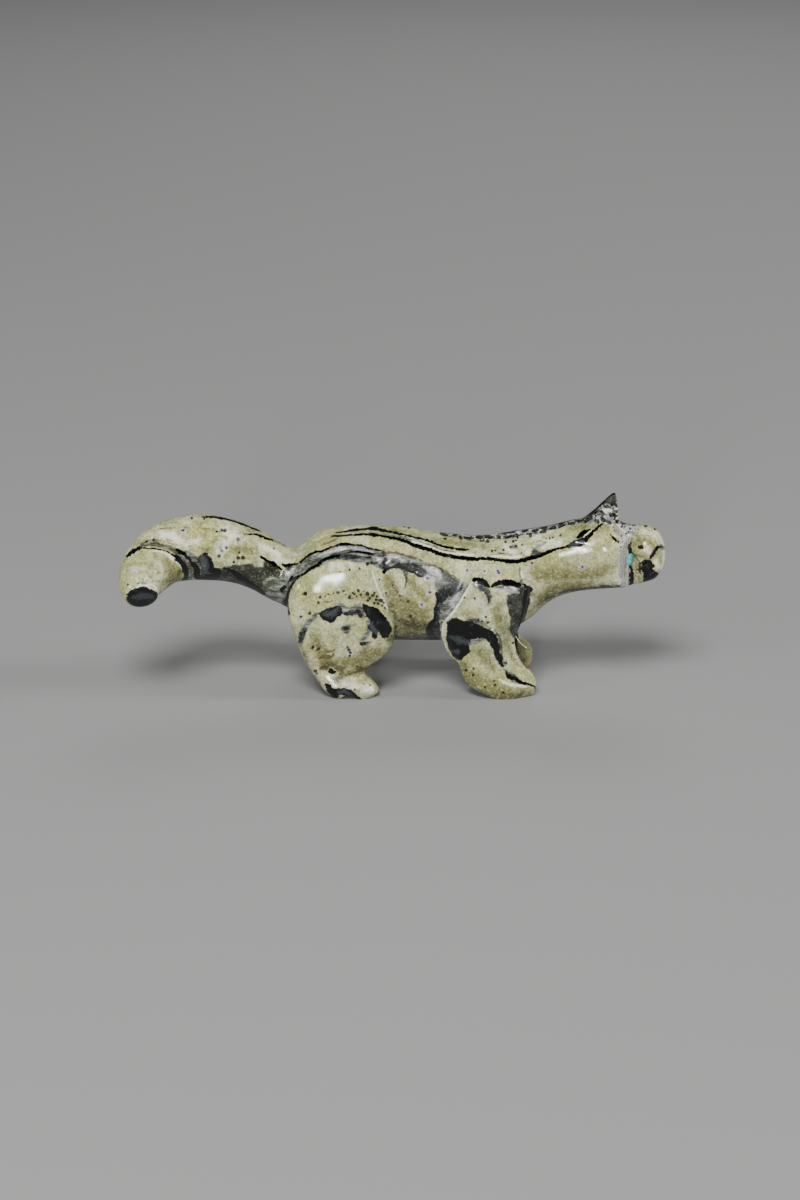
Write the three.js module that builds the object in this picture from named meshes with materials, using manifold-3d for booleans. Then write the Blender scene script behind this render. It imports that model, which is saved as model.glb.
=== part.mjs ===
// A zuni fetish: a small four-legged animal carved from one piece of banded stone,
// with a disc of turquoise let into each side of its face.
// Millimetres. +X is the way the animal looks, its left side is +Y, and Z = 0 is the plane of the soles.

import * as THREE from 'three';
import { mergeVertices } from 'three/addons/utils/BufferGeometryUtils.js';
import Module from 'manifold-3d';

const wasm = await Module();
wasm.setup();

// Driving dimensions
const LENGTH = 89; // from the nose to the outside of the tail's curl
const EYE_DIAMETER = 2;
const EYE_THICKNESS = 1.3; // of the turquoise disc at its rim
const EYE_DOME = 0.2; // rise of its polished face
const EYE_PROUD = 0.15; // how far the rim stands out of the cheek
const SETTING_GAP = 0.3; // between the disc and its socket, all round and behind
const EYE_SIDES = 18;
const DOME_RINGS = 3;

// The carving keeps its proportions, so it is drawn on a grid of 89 parts to the length.
const PART = LENGTH / 89;
const parts = (count) => count * PART;

const BELLY = 7.5; // height of the underside, in grid parts
const NOSE = 44.6; // X of the tip of the nose, in grid parts

const HIND_STEP = parts(3.2); // the left hind leg is set back by this much at the sole
const STEP_HEIGHT = parts(12); // and comes level with the right one here
const CHEEK_HALF_WIDTH = parts(6.1);
const CHEEK_RIDGE = parts(36.7); // X of the ridge where neck and cheek meet
const CHEEK_SLOPE = 0.6; // X gained for each millimetre towards the middle of the face
const EYE_OUT = parts(2.75); // the eye's distance from the middle of the face
const EYE_HEIGHT = parts(22.4);
const GROOVE_OUT = parts(2.65); // the saw groove between cheek and muzzle, from the middle of the face
const GROOVE_RADIUS = parts(0.35);
const GROOVE_TOP = parts(25.3);
const EAR_OUT = parts(2.4); // an ear's distance from the middle of the head
const RIGHT_EAR_TIP = { x: parts(35), z: parts(31.8) };
const LEFT_EAR_TIP = { x: parts(36.1), z: parts(32) };
const TAIL_END_RIDGE = parts(0.7); // rounding of the tail's sawn end
const TAIL_FACET_WAY = new THREE.Vector3(0.71, -0.3, 0.64); // which way the flat beside the tail's end looks
const BEVEL_RIDGE = parts(0.25); // rounding of the edges of that flat and of the bevels on the legs
const FOLD_TOP = [17.4, 9.2, 5.4].map(parts); // the fold over the front paw, as [x, outward, z]
const FOLD_TOE = [23.8, 9, 2].map(parts);
const FOLD_RADIUS = parts(1);
const ARCH_X = parts(-7.3); // the hollow between heel and toes of a hind paw
const ARCH_DROP = parts(-0.7);
const ARCH_RADIUS = parts(1.4);

// Each profile is a list of [station, value] pairs along the axis that the piece is carved on.
// The trunk runs from rump to cheeks along X.
const TRUNK_TOP = profile([
  [-16, 21.9], [-11.7, 24.6], [-7.1, 26.3], [-2, 26.8], [2, 26.7], [5.5, 26], [9.5, 25.4],
  [14.4, 25], [20, 25.9], [25, 26.8], [30.5, 28], [33.5, 28.1], [37.3, 26.9],
]);
const TRUNK_BOTTOM = profile([
  [-16, 11.5], [-11, 8.3], [-5, BELLY], [12, BELLY], [17.7, 8.8], [22.6, 11.6], [25.1, 14],
  [27.6, 15.5], [31, 16.5], [37.3, 17.6],
]);
const TRUNK_HALF_WIDTH = profile([
  [-16, 5], [-11, 6.8], [-6, 7.6], [-1, 7.3], [3, 7.2], [9, 7.5], [14.4, 7.6], [18, 7.3], [22.6, 6.3],
  [27, 5.2], [31, 5.3], [34.5, 5.9], [37.3, 6.2],
]);
const TRUNK_POWER = profile([[-16, 2.2], [20, 2.3], [28, 2.3], [34, 2.8], [37.3, 3.2]], 1);
// The share of its half width that the trunk loses from its middle height down to the underside.
const TRUNK_TAPER = profile([[-14, 0], [-8, 0.3], [14, 0.3], [21, 0.15], [28, 0]], 1);

// The muzzle is a short upright block ahead of the cheeks, pinched where it leaves them.
const MUZZLE_TOP = profile([[37, 27.3], [39.5, 27.2], [41.5, 27], [43, 26.5], [NOSE, 25.2]]);
const MUZZLE_BOTTOM = profile([[37, 17.3], [39.5, 17.4], [41.5, 17.9], [43, 18.5], [NOSE, 20.1]]);
const MUZZLE_HALF_WIDTH = profile([
  [37, 1.9], [38.6, 2], [39.8, 2.75], [40.9, 3.15], [42.4, 3.3], [NOSE, 2.9],
]);

// A leg is carved down Z: back and front edges, outer and inner faces.
const HIND_LEG = {
  back: profile([
    [0, -10.3], [1.9, -11.9], [5.9, -14.4], [10, -15.9], [15, -17.2], [19, -16.9], [24.5, -13],
  ]),
  front: profile([
    [0, -3], [0.9, -2.3], [2.5, -3.3], [4, -4.6], [5.4, -3.4], [8, -0.5], [10.8, 0.4], [15.6, -0.7],
    [20, -2.4], [24.5, -5.5],
  ]),
  outer: profile([
    [0, 8.5], [1.5, 8.9], [3, 8.5], [4.6, 8], [7, 8.7], [10, 9.3], [13, 9.5], [18, 9.1], [22, 7.7],
    [24.5, 5.6],
  ]),
  inner: profile([[0, 4], [6, 3.7], [10, 2.4], [24.5, 1]]),
  top: parts(25),
  power: 2.5,
  bulge: parts(0.2), // of the rounded section past the flattened outer face
  ridge: parts(0.8), // rounding of the edge between them
  bevels: [{ edge: 'front', along: parts(1.7), inwards: parts(1.5) }], // off the outer face at an edge
};
const FRONT_LEG = {
  back: profile([
    [0, 15.2], [1.6, 12.8], [3.4, 11.5], [5.5, 10.8], [7.3, 9.1], [10.5, 7.9], [13.1, 7.4], [16.6, 9.3],
    [21.3, 11.8], [24.5, 13.2],
  ]),
  front: profile([
    [0, 22.8], [1.1, 23.4], [2.4, 23.5], [3.6, 23.1], [5.2, 21.6], [7.8, 20.2], [9.5, 19.9], [12.5, 20.8],
    [15.4, 21.6], [19.3, 22.2], [24.5, 21.4],
  ]),
  outer: profile([
    [0, 8.4], [2, 8.7], [4, 8.4], [7, 8], [11, 8.5], [14, 8.7], [17, 8.6], [20.5, 8.1], [24.5, 6.2],
  ]),
  inner: profile([[0, 4], [7, 3.8], [11, 2.4], [24.5, 1]]),
  top: parts(23),
  power: 3,
  bulge: parts(1.1),
  ridge: parts(0.25),
  bevels: [
    { edge: 'back', along: parts(1.7), inwards: parts(1.4) },
    { edge: 'front', along: parts(3.2), inwards: parts(1.5) },
  ],
};

// The tail leaves the rump level, arches back and curls round to the animal's right.
const TAIL_PATH = [
  [-11, 0, 17], [-17.8, 0, 18.6], [-21, 0, 20.4], [-24.3, 0, 22.1], [-27.6, 0, 23.1], [-31.6, -0.2, 23.6],
  [-34.8, -0.9, 23.5], [-37.7, -3, 23.1], [-39.8, -6.3, 21.8], [-40.7, -9, 20.2], [-40.3, -11.3, 18.9],
];
const TAIL_RADIUS = profile([
  [0, 4.6], [0.13, 4.6], [0.25, 4.5], [0.4, 5], [0.55, 5.4], [0.7, 5.1], [0.82, 4.6], [0.92, 3.7], [1, 2.5],
], PART, 1);
// How far out the flat beside the tail's end lies, as a share of the radius.
const TAIL_FACET = profile([[0.7, 1.15], [0.8, 0.9], [1, 0.84]], 1, 1);

/** A smooth curve through [station, value] pairs, without overshoot, held level past both ends. */
function profile(pairs, valueUnit = PART, stationUnit = PART) {
  const s = pairs.map((pair) => pair[0] * stationUnit);
  const v = pairs.map((pair) => pair[1] * valueUnit);
  const last = s.length - 1;
  const rise = s.slice(1).map((end, i) => (v[i + 1] - v[i]) / (end - s[i]));
  const slope = v.map((_, i) => {
    if (i === 0) return rise[0];
    if (i === last) return rise[last - 1];
    if (rise[i - 1] * rise[i] <= 0) return 0;
    const before = s[i] - s[i - 1];
    const after = s[i + 1] - s[i];
    return (3 * (before + after)) / ((2 * after + before) / rise[i - 1] + (after + 2 * before) / rise[i]);
  });
  return (station) => {
    if (station <= s[0]) return v[0];
    if (station >= s[last]) return v[last];
    let i = 0;
    while (station > s[i + 1]) i += 1;
    const span = s[i + 1] - s[i];
    const t = (station - s[i]) / span;
    const u = 1 - t;
    return (
      u * u * (1 + 2 * t) * v[i] + t * t * (3 - 2 * t) * v[i + 1]
      + span * t * u * (u * slope[i] - t * slope[i + 1])
    );
  };
}

/** Signed distance from (p, q) to a superellipse of half sizes a and b, along the ray from its centre. */
function superellipse(p, q, a, b, power) {
  const level = (Math.abs(p / a) ** power + Math.abs(q / b) ** power) ** (1 / power);
  return level > 1e-6 ? Math.hypot(p, q) * (1 - 1 / level) : -Math.min(a, b);
}

/** The smaller of two distances, rounded over a band of the given width where they are nearly equal. */
function join(one, other, width) {
  const near = Math.max(width - Math.abs(one - other), 0) / width;
  return Math.min(one, other) - (near * near * width) / 4;
}

/** The larger of two distances, rounded the same way: what is left of one after it is cut by the other. */
function cut(one, other, width) {
  return -join(-one, -other, width);
}

function smoothStep(low, high, value) {
  const t = Math.min(Math.max((value - low) / (high - low), 0), 1);
  return t * t * (3 - 2 * t);
}

function trunk(x, y, z) {
  const top = TRUNK_TOP(x);
  const bottom = TRUNK_BOTTOM(x);
  const middle = (top + bottom) / 2;
  const halfHeight = (top - bottom) / 2;
  const low = Math.min(Math.max((middle - z) / halfHeight, 0), 1);
  const halfWidth = TRUNK_HALF_WIDTH(x) * (1 - TRUNK_TAPER(x) * low * low);
  const section = superellipse(y, z - middle, halfWidth, halfHeight, TRUNK_POWER(x));
  const rump = cut(section, parts(-16.4) - x, parts(5));
  return cut(rump, cheekPlane(x, y), parts(0.25));
}

/** Distance in front of the two slanting planes that end the neck and carry the eyes. */
function cheekPlane(x, y) {
  const ahead = x - CHEEK_RIDGE - (CHEEK_HALF_WIDTH - Math.abs(y)) * CHEEK_SLOPE;
  return ahead / Math.hypot(1, CHEEK_SLOPE);
}

function muzzle(x, y, z) {
  const top = MUZZLE_TOP(x);
  const bottom = MUZZLE_BOTTOM(x);
  const section = superellipse(y, z - (top + bottom) / 2, MUZZLE_HALF_WIDTH(x), (top - bottom) / 2, 3);
  return cut(cut(section, x - parts(NOSE), parts(2.2)), CHEEK_RIDGE - parts(3) - x, parts(1));
}

/** One ear: a thin fin with a sloping back, an upright front and a hollow towards the other ear. */
function ear(x, y, z) {
  const tip = y > 0 ? LEFT_EAR_TIP : RIGHT_EAR_TIP;
  const side = Math.abs(y) - EAR_OUT;
  const ahead = x - tip.x;
  const up = z - tip.z;
  const back = -0.74 * ahead + 0.67 * up - parts(0.27);
  const front = 0.99 * ahead + 0.12 * up - parts(0.42);
  const outside = 0.95 * side + 0.31 * up - parts(0.15);
  const inside = -0.93 * side + 0.36 * up - parts(0.15);
  const fin = cut(cut(back, front, parts(0.4)), cut(outside, inside, parts(0.4)), parts(0.3));
  return cut(fin, parts(26) - z, parts(0.5));
}

/** A leg's field at (x, outward, z), outward being the distance from the animal's middle. */
function leg(shape, x, outward, z, step) {
  const setBack = step * (1 - smoothStep(0, STEP_HEIGHT, z));
  const back = shape.back(z) - setBack;
  const front = shape.front(z) - setBack;
  const outer = shape.outer(z);
  const inner = shape.inner(z);
  const section = superellipse(
    x - (back + front) / 2, outward - (outer + shape.bulge + inner) / 2,
    (front - back) / 2, (outer + shape.bulge - inner) / 2, shape.power,
  );
  let faced = cut(section, outward - outer, shape.ridge);
  for (const { edge, along, inwards } of shape.bevels) {
    const past = edge === 'front' ? x - front : back - x;
    const bevel = (past / along + (outward - outer) / inwards + 1) / Math.hypot(1 / along, 1 / inwards);
    faced = cut(faced, bevel, BEVEL_RIDGE);
  }
  return cut(faced, z - shape.top, parts(3));
}

const tailCurve = new THREE.CatmullRomCurve3(
  TAIL_PATH.map(([x, y, z]) => new THREE.Vector3(parts(x), parts(y), parts(z))), false, 'centripetal',
);
const TAIL_STEPS = 90;
const tailPoints = tailCurve.getSpacedPoints(TAIL_STEPS);
const tailRadii = tailPoints.map((_, i) => TAIL_RADIUS(i / TAIL_STEPS));
const tailEnd = tailPoints[TAIL_STEPS];
const tailEndAxis = tailEnd.clone().sub(tailPoints[TAIL_STEPS - 4]).normalize();

/** Distance to a round tube about the tail's path, with a flat beside its end, and cut square there. */
function tail(x, y, z) {
  const squares = tailPoints.map((p) => (x - p.x) ** 2 + (y - p.y) ** 2 + (z - p.z) ** 2);
  let i = 1;
  for (let k = 2; k < TAIL_STEPS; k += 1) if (squares[k] < squares[i]) i = k;
  const bend = squares[i - 1] - 2 * squares[i] + squares[i + 1];
  const t = THREE.MathUtils.clamp((squares[i - 1] - squares[i + 1]) / (2 * Math.max(bend, 1e-9)), -1, 1);
  const before = (t * t - t) / 2;
  const after = (t * t + t) / 2;
  const between = (key) =>
    tailPoints[i - 1][key] * before + tailPoints[i][key] * (1 - t * t) + tailPoints[i + 1][key] * after;
  const radius = tailRadii[i - 1] * before + tailRadii[i] * (1 - t * t) + tailRadii[i + 1] * after;
  const from = new THREE.Vector3(x - between('x'), y - between('y'), z - between('z'));
  const facet = from.dot(TAIL_FACET_WAY) - TAIL_FACET((i + t) / TAIL_STEPS) * radius;
  const tube = cut(from.length() - radius, facet, BEVEL_RIDGE);
  const past = new THREE.Vector3(x, y, z).sub(tailEnd).dot(tailEndAxis);
  return cut(tube, past, TAIL_END_RIDGE);
}

/** The saw groove that parts cheek from muzzle on each side, running up to the brow. */
function grooves(x, y, z) {
  const ahead = x - CHEEK_RIDGE - (CHEEK_HALF_WIDTH - GROOVE_OUT) * CHEEK_SLOPE;
  const across = Math.hypot(ahead, Math.abs(y) - GROOVE_OUT) - GROOVE_RADIUS;
  return cut(across, z - GROOVE_TOP, parts(0.3));
}

/** Distance to a round bar between two points, each [x, outward, z], on the right and left alike. */
function bar(x, outward, z, [ax, ay, az], [bx, by, bz], radius) {
  const along = [bx - ax, by - ay, bz - az];
  const from = [x - ax, outward - ay, z - az];
  const dot = (p, q) => p[0] * q[0] + p[1] * q[1] + p[2] * q[2];
  const share = THREE.MathUtils.clamp(dot(from, along) / dot(along, along), 0, 1);
  return Math.hypot(...from.map((value, i) => value - along[i] * share)) - radius;
}

/** The folds that part the toes from the shin in front, and heel from toes under the hind paw. */
function footFolds(x, outward, z, step) {
  const fold = bar(x, outward, z, FOLD_TOP, FOLD_TOE, FOLD_RADIUS);
  const arch = Math.hypot(x + step - ARCH_X, z - ARCH_DROP) - ARCH_RADIUS;
  return Math.min(fold, arch);
}

/** The whole carving: below zero inside the stone, above zero outside it. */
function carving(x, y, z) {
  const outward = Math.abs(y);
  const step = y > 0 ? HIND_STEP : 0;
  const haunchJoin = parts(0.5 + 3 * smoothStep(parts(17), parts(23), z));
  const shoulderJoin = parts(0.4 + 2 * smoothStep(parts(20.5), parts(24), z));
  let stone = trunk(x, y, z);
  stone = join(stone, muzzle(x, y, z), parts(0.3));
  stone = join(stone, ear(x, y, z), parts(1));
  stone = join(stone, tail(x, y, z), parts(3));
  stone = join(stone, leg(HIND_LEG, x, outward, z, step), haunchJoin);
  stone = join(stone, leg(FRONT_LEG, x, outward, z, 0), shoulderJoin);
  stone = cut(stone, -footFolds(x, outward, z, step), parts(0.5));
  stone = cut(stone, -grooves(x, y, z), parts(0.2));
  return Math.max(stone, -z);
}

/** Lattice planes from start through each span [end, step], in equal steps close to the one asked for. */
function planes(start, spans) {
  const list = [start];
  for (const [end, step] of spans) {
    const from = list[list.length - 1];
    const count = Math.round((end - from) / step);
    for (let i = 1; i <= count; i += 1) list.push(from + ((end - from) * i) / count);
  }
  return list;
}

/** Unit slope of the field, which on the surface is the way out of the stone. */
function outwards(field, { x, y, z }) {
  const reach = parts(0.02);
  return new THREE.Vector3(
    field(x + reach, y, z) - field(x - reach, y, z),
    field(x, y + reach, z) - field(x, y - reach, z),
    field(x, y, z + reach) - field(x, y, z - reach),
  ).normalize();
}

/** The point between a and b where the field is zero, by two false-position steps from its values there. */
function crossing(field, a, b, valueA, valueB) {
  let [low, high, atLow, atHigh] = [0, 1, valueA, valueB];
  let share = atLow / (atLow - atHigh);
  const point = new THREE.Vector3();
  for (let round = 0; round < 2; round += 1) {
    point.lerpVectors(a, b, share);
    const value = field(point.x, point.y, point.z);
    if (value < 0 === atLow < 0) [low, atLow] = [share, value];
    else [high, atHigh] = [share, value];
    if (atLow !== atHigh) share = low + ((high - low) * atLow) / (atLow - atHigh);
  }
  return point.lerpVectors(a, b, share);
}

/** The point of a cell nearest to all the tangent planes found on its edges, so that ridges stay sharp. */
function ridgePoint({ points, normals, box }) {
  const middle = points.reduce((sum, p) => sum.add(p), new THREE.Vector3()).divideScalar(points.length);
  const pull = 0.08; // weight that holds the point near the middle where the planes leave it free
  const m = [pull, 0, 0, 0, pull, 0, 0, 0, pull];
  const want = new THREE.Vector3();
  points.forEach((p, i) => {
    const n = normals[i].toArray();
    for (let r = 0; r < 3; r += 1) for (let c = 0; c < 3; c += 1) m[3 * r + c] += n[r] * n[c];
    want.addScaledVector(normals[i], normals[i].dot(p.clone().sub(middle)));
  });
  const point = want.applyMatrix3(new THREE.Matrix3().set(...m).invert()).add(middle);
  return point.clamp(box.min, box.max);
}

/** A closed mesh of the surface where the field is zero: one point in each lattice cell that it crosses. */
function surfaceOf(field, lattice) {
  const size = lattice.map((list) => list.length);
  const stride = [size[1] * size[2], size[2], 1];
  const place = (node) => new THREE.Vector3(...node.map((n, axis) => lattice[axis][n]));
  const nodes = [];
  for (let i = 0; i < size[0]; i += 1)
    for (let j = 0; j < size[1]; j += 1) for (let k = 0; k < size[2]; k += 1) nodes.push([i, j, k]);
  const values = nodes.map((node) => field(...place(node).toArray()));

  const cells = new Map();
  const cellAt = (id) => {
    if (!cells.has(id)) {
      const low = place(nodes[id]);
      const high = place(nodes[id].map((n) => n + 1));
      const margin = low.distanceTo(high) / -50;
      cells.set(id, { points: [], normals: [], box: new THREE.Box3(low, high).expandByScalar(margin) });
    }
    return cells.get(id);
  };
  const quads = [];
  nodes.forEach((node, id) => {
    for (let axis = 0; axis < 3; axis += 1) {
      const next = id + stride[axis];
      if (node[axis] === size[axis] - 1 || values[id] < 0 === values[next] < 0) continue;
      const point = crossing(field, place(node), place(nodes[next]), values[id], values[next]);
      const normal = outwards(field, point);
      const [u, v] = [stride[(axis + 1) % 3], stride[(axis + 2) % 3]];
      const quad = [id - u - v, id - v, id, id - u];
      for (const cell of quad.map(cellAt)) {
        cell.points.push(point);
        cell.normals.push(normal);
      }
      quads.push(values[id] < 0 ? quad : quad.reverse());
    }
  });

  const order = new Map();
  const points = [];
  for (const [id, cell] of cells) {
    order.set(id, points.length);
    points.push(ridgePoint(cell));
  }
  const triangles = quads.flatMap((quad) => {
    const [a, b, c, d] = quad.map((id) => order.get(id));
    const shortest = points[a].distanceTo(points[c]) <= points[b].distanceTo(points[d]);
    return shortest ? [a, b, c, a, c, d] : [b, c, d, b, d, a];
  });
  const geometry = new THREE.BufferGeometry();
  geometry.setAttribute('position', new THREE.Float32BufferAttribute(points.flatMap((p) => p.toArray()), 3));
  geometry.setIndex(triangles);
  return geometry;
}

/** The geometry with only its places, each shared by the faces that meet there. */
function sharedPoints(geometry) {
  geometry.deleteAttribute('normal');
  geometry.deleteAttribute('uv');
  return mergeVertices(geometry, 1e-4);
}

/** A solid for cutting, from any closed geometry with shared points. */
function solidOf(merged) {
  return new wasm.Manifold(
    new wasm.Mesh({
      numProp: 3,
      vertProperties: Float32Array.from(merged.attributes.position.array),
      triVerts: Uint32Array.from(merged.index.array),
    }),
  );
}

function geometryOf(solid) {
  const mesh = solid.getMesh();
  const geometry = new THREE.BufferGeometry();
  geometry.setAttribute('position', new THREE.BufferAttribute(mesh.vertProperties, 3));
  geometry.setIndex(new THREE.BufferAttribute(mesh.triVerts, 1));
  return geometry;
}

/** Where one eye sits: the middle of its rim plane, turned so that local Y looks out of the cheek. */
function eyePlace(side) {
  const place = new THREE.Object3D();
  const out = new THREE.Vector3(1, side * CHEEK_SLOPE, 0).normalize();
  place.position.set(CHEEK_RIDGE + (CHEEK_HALF_WIDTH - EYE_OUT) * CHEEK_SLOPE, side * EYE_OUT, EYE_HEIGHT);
  place.quaternion.setFromUnitVectors(new THREE.Vector3(0, 1, 0), out);
  place.updateMatrix();
  return place;
}

function eyeGeometry() {
  const radius = EYE_DIAMETER / 2;
  const bottom = EYE_PROUD - EYE_THICKNESS;
  const outline = [new THREE.Vector2(0, bottom), new THREE.Vector2(radius, bottom)];
  for (let i = 0; i <= DOME_RINGS; i += 1) {
    const turn = ((i / DOME_RINGS) * Math.PI) / 2;
    outline.push(new THREE.Vector2(radius * Math.cos(turn), EYE_PROUD + EYE_DOME * Math.sin(turn)));
  }
  outline[outline.length - 1].x = 0;
  return new THREE.LatheGeometry(outline, EYE_SIDES);
}

/** The drill that sinks an eye socket, long enough to clear the muzzle's pinch in front of the disc. */
function socketDrill(place) {
  const depth = EYE_THICKNESS - EYE_PROUD + SETTING_GAP;
  const clear = EYE_PROUD + EYE_DOME + SETTING_GAP;
  const radius = EYE_DIAMETER / 2 + SETTING_GAP;
  const drill = new THREE.CylinderGeometry(radius, radius, depth + clear, EYE_SIDES);
  drill.translate(0, (clear - depth) / 2, 0);
  return solidOf(sharedPoints(drill).applyMatrix4(place.matrix));
}

function named(name, geometry, material) {
  const mesh = new THREE.Mesh(geometry, material);
  mesh.name = name;
  return mesh;
}

const stone = new THREE.MeshStandardMaterial({ color: 0xb4b28a, roughness: 0.28, metalness: 0 });
const turquoise = new THREE.MeshStandardMaterial({ color: 0x3ea0b4, roughness: 0.25, metalness: 0 });

const RIGHT = -1;
const LEFT = 1;
const eyes = [
  ['turquoise_eye_right', eyePlace(RIGHT)],
  ['turquoise_eye_left', eyePlace(LEFT)],
];

// The lattice clears the carving on every side, and is finer at the feet, the ears and the face.
const carved = surfaceOf(carving, [
  planes(parts(-46.1), [
    [parts(-18), parts(1.4)], [parts(31), parts(1.5)], [parts(36), parts(1)], [parts(NOSE + 1), parts(0.7)],
  ]),
  planes(parts(-15.3), [[parts(-9.9), parts(1.3)], [parts(10.5), parts(1.05)]]),
  planes(parts(-1.5), [
    [parts(4.5), parts(1)], [parts(26.5), parts(1.35)], [LEFT_EAR_TIP.z + parts(1.2), parts(0.85)],
  ]),
]);
let body = solidOf(carved);
for (const [, place] of eyes) body = body.subtract(socketDrill(place));

const fetish = new THREE.Group();
fetish.add(named('stone_body', geometryOf(body), stone));
for (const [name, place] of eyes) {
  const eye = named(name, eyeGeometry(), turquoise);
  eye.position.copy(place.position);
  eye.quaternion.copy(place.quaternion);
  fetish.add(eye);
}

// The origin goes to the middle of the carving's outline, on the plane of the soles.
const box = new THREE.Box3().setFromObject(fetish);
const middle = box.getCenter(new THREE.Vector3());
fetish.position.set(-middle.x, -middle.y, 0);

export default fetish;
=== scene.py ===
import math

import bpy
import numpy as np
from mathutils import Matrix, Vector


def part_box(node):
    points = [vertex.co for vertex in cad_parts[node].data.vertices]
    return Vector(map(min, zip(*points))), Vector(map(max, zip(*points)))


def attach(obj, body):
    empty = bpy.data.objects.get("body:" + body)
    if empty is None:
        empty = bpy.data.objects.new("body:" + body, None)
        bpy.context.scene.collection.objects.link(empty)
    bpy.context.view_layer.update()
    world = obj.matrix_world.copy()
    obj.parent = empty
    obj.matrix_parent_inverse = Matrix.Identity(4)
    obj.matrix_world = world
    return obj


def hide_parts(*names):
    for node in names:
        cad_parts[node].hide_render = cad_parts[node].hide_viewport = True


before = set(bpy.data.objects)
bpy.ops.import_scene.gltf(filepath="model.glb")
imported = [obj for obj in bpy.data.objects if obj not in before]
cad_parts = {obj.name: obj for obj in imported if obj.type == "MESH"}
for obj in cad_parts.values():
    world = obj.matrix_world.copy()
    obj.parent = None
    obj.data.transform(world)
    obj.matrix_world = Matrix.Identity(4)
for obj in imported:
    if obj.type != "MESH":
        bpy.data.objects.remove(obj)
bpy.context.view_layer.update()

MM = 0.001  # the carving is worked out in millimetres, and Blender's unit is the metre
RIGHT, LEFT = -1, 1  # the sides of the animal, as the sign of Y

# The carving's sizes, in millimetres, as the solids have them.
BELLY = 7.5
HIND_STEP = 3.2  # how far back the left hind paw stands
STEP_HEIGHT = 12  # the height at which that leg has no step left
CHEEK_HALF_WIDTH = 6.1
CHEEK_RIDGE = 36.7  # how far forward the cheeks reach at that half width
CHEEK_SLOPE = 0.6  # how much farther forward they reach for each millimetre inwards
CHEEK_EDGE = 0.25
RUMP = -16.4
RUMP_ROUND = 5
NOSE = 44.6
NOSE_ROUND = 2.2
MUZZLE_ROOT = 3  # how far the muzzle reaches into the head
MUZZLE_ROOT_ROUND = 1
MUZZLE_POWER = 3
EAR_OUT = 2.4
RIGHT_EAR_TIP = (35, 31.8)
LEFT_EAR_TIP = (36.1, 32)
EAR_FOOT = 26
# An ear's four planes, about its tip: two slopes, and how far the plane stands out.
EAR_BACK = (-0.74, 0.67, 0.27)
EAR_FRONT = (0.99, 0.12, 0.42)
EAR_OUTSIDE = (0.95, 0.31, 0.15)
EAR_INSIDE = (-0.93, 0.36, 0.15)
EAR_RIDGE = 0.4
EAR_CORNER = 0.3
EAR_FOOT_ROUND = 0.5
GROOVE_OUT = 2.65
GROOVE_RADIUS = 0.35
GROOVE_TOP = 25.3
GROOVE_END_ROUND = 0.3
FOLD_TOP = (17.4, 9.2, 5.4)  # the fold over a front paw: along, outwards and up
FOLD_TOE = (23.8, 9, 2)
FOLD_RADIUS = 1
ARCH_X = -7.3  # the arch under a hind paw
ARCH_DROP = -0.7
ARCH_RADIUS = 1.4
TAIL_END_RIDGE = 0.7
BEVEL_RIDGE = 0.25
TAIL_FACET_WAY = (0.71, -0.3, 0.64)  # which way the flat near the tail's end faces
LEG_TOP_ROUND = 3

# How wide the curve is where a form runs into the trunk, and where a cut meets the skin.
MUZZLE_BLEND = 0.3
EAR_BLEND = 1
TAIL_BLEND = 3
FOLD_EDGE = 0.5
GROOVE_EDGE = 0.2

# Each eye's side, its piece here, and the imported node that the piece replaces.
EYES = (
    (RIGHT, "inlaid_eye_right", "turquoise_eye_right"),
    (LEFT, "inlaid_eye_left", "turquoise_eye_left"),
)
EYE_DIAMETER = 2
EYE_THICKNESS = 1.3
EYE_DOME = 0.2
EYE_PROUD = 0.15
EYE_OUT = 2.75
EYE_HEIGHT = 22.4
EYE_SEAT = 0.06  # clearance of the finished disc in its socket
RIM_ROUND = 0.12
EYE_SIDES = 48
EYE_RINGS = 10  # round the rim, and again over the polished face

CELL = 0.34  # spacing of the lattice that the surface is found on
FACE_CELL = 0.24  # and round the face
FACE_LENGTH = (35, 41)  # the stretch of the animal's length that has the finer spacing
FACE_HEIGHT = (20.5, 24.5)  # and of its height
PAST = 1.2  # how far the lattice goes past the stone
CROSSING_ROUNDS = 4  # steps to where an edge of the lattice crosses the surface
PULL = 0.05  # how strongly a cell's point is drawn to the middle of its crossings
CELL_MARGIN = 0.02  # share of a cell that its point keeps from the cell's sides
LAST_STEP = 0.05  # the farthest that a point is then moved on to the surface
LEAST_SLOPE = 0.5  # the slope taken for that move where the field is less steep
SLOPE_REACH = 0.01  # either side of a point, for the field's slope there
CURVE_STEPS = 40  # fine steps on each stretch of a curve, before its points are spaced evenly


def profile(pairs):
    """A smooth curve through (station, value) pairs: cubic pieces whose slope at each station is the
    harmonic mean of the rises on either side, so that it never overshoots. Level past both ends."""
    s, v = np.array(pairs, float).T
    span = np.diff(s)
    rise = np.diff(v) / span
    slope = np.concatenate([rise[:1], np.zeros(len(s) - 2), rise[-1:]])
    before, after = span[:-1], span[1:]
    same_way = rise[:-1] * rise[1:] > 0
    safe = np.where(same_way, rise[:-1] * rise[1:], 1)
    weighted = (2 * after + before) * rise[1:] + (after + 2 * before) * rise[:-1]
    slope[1:-1] = np.where(same_way, 3 * (before + after) * safe / np.where(same_way, weighted, 1), 0)

    def at(station):
        """The cubic between the two stations around this one, from their values and slopes."""
        station = np.clip(station, s[0], s[-1])
        i = np.clip(np.searchsorted(s, station, side="right") - 1, 0, len(span) - 1)
        t = (station - s[i]) / span[i]
        u = 1 - t
        ends = u * u * (1 + 2 * t) * v[i] + t * t * (3 - 2 * t) * v[i + 1]
        return ends + span[i] * t * u * (u * slope[i] - t * slope[i + 1])

    return at


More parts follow.
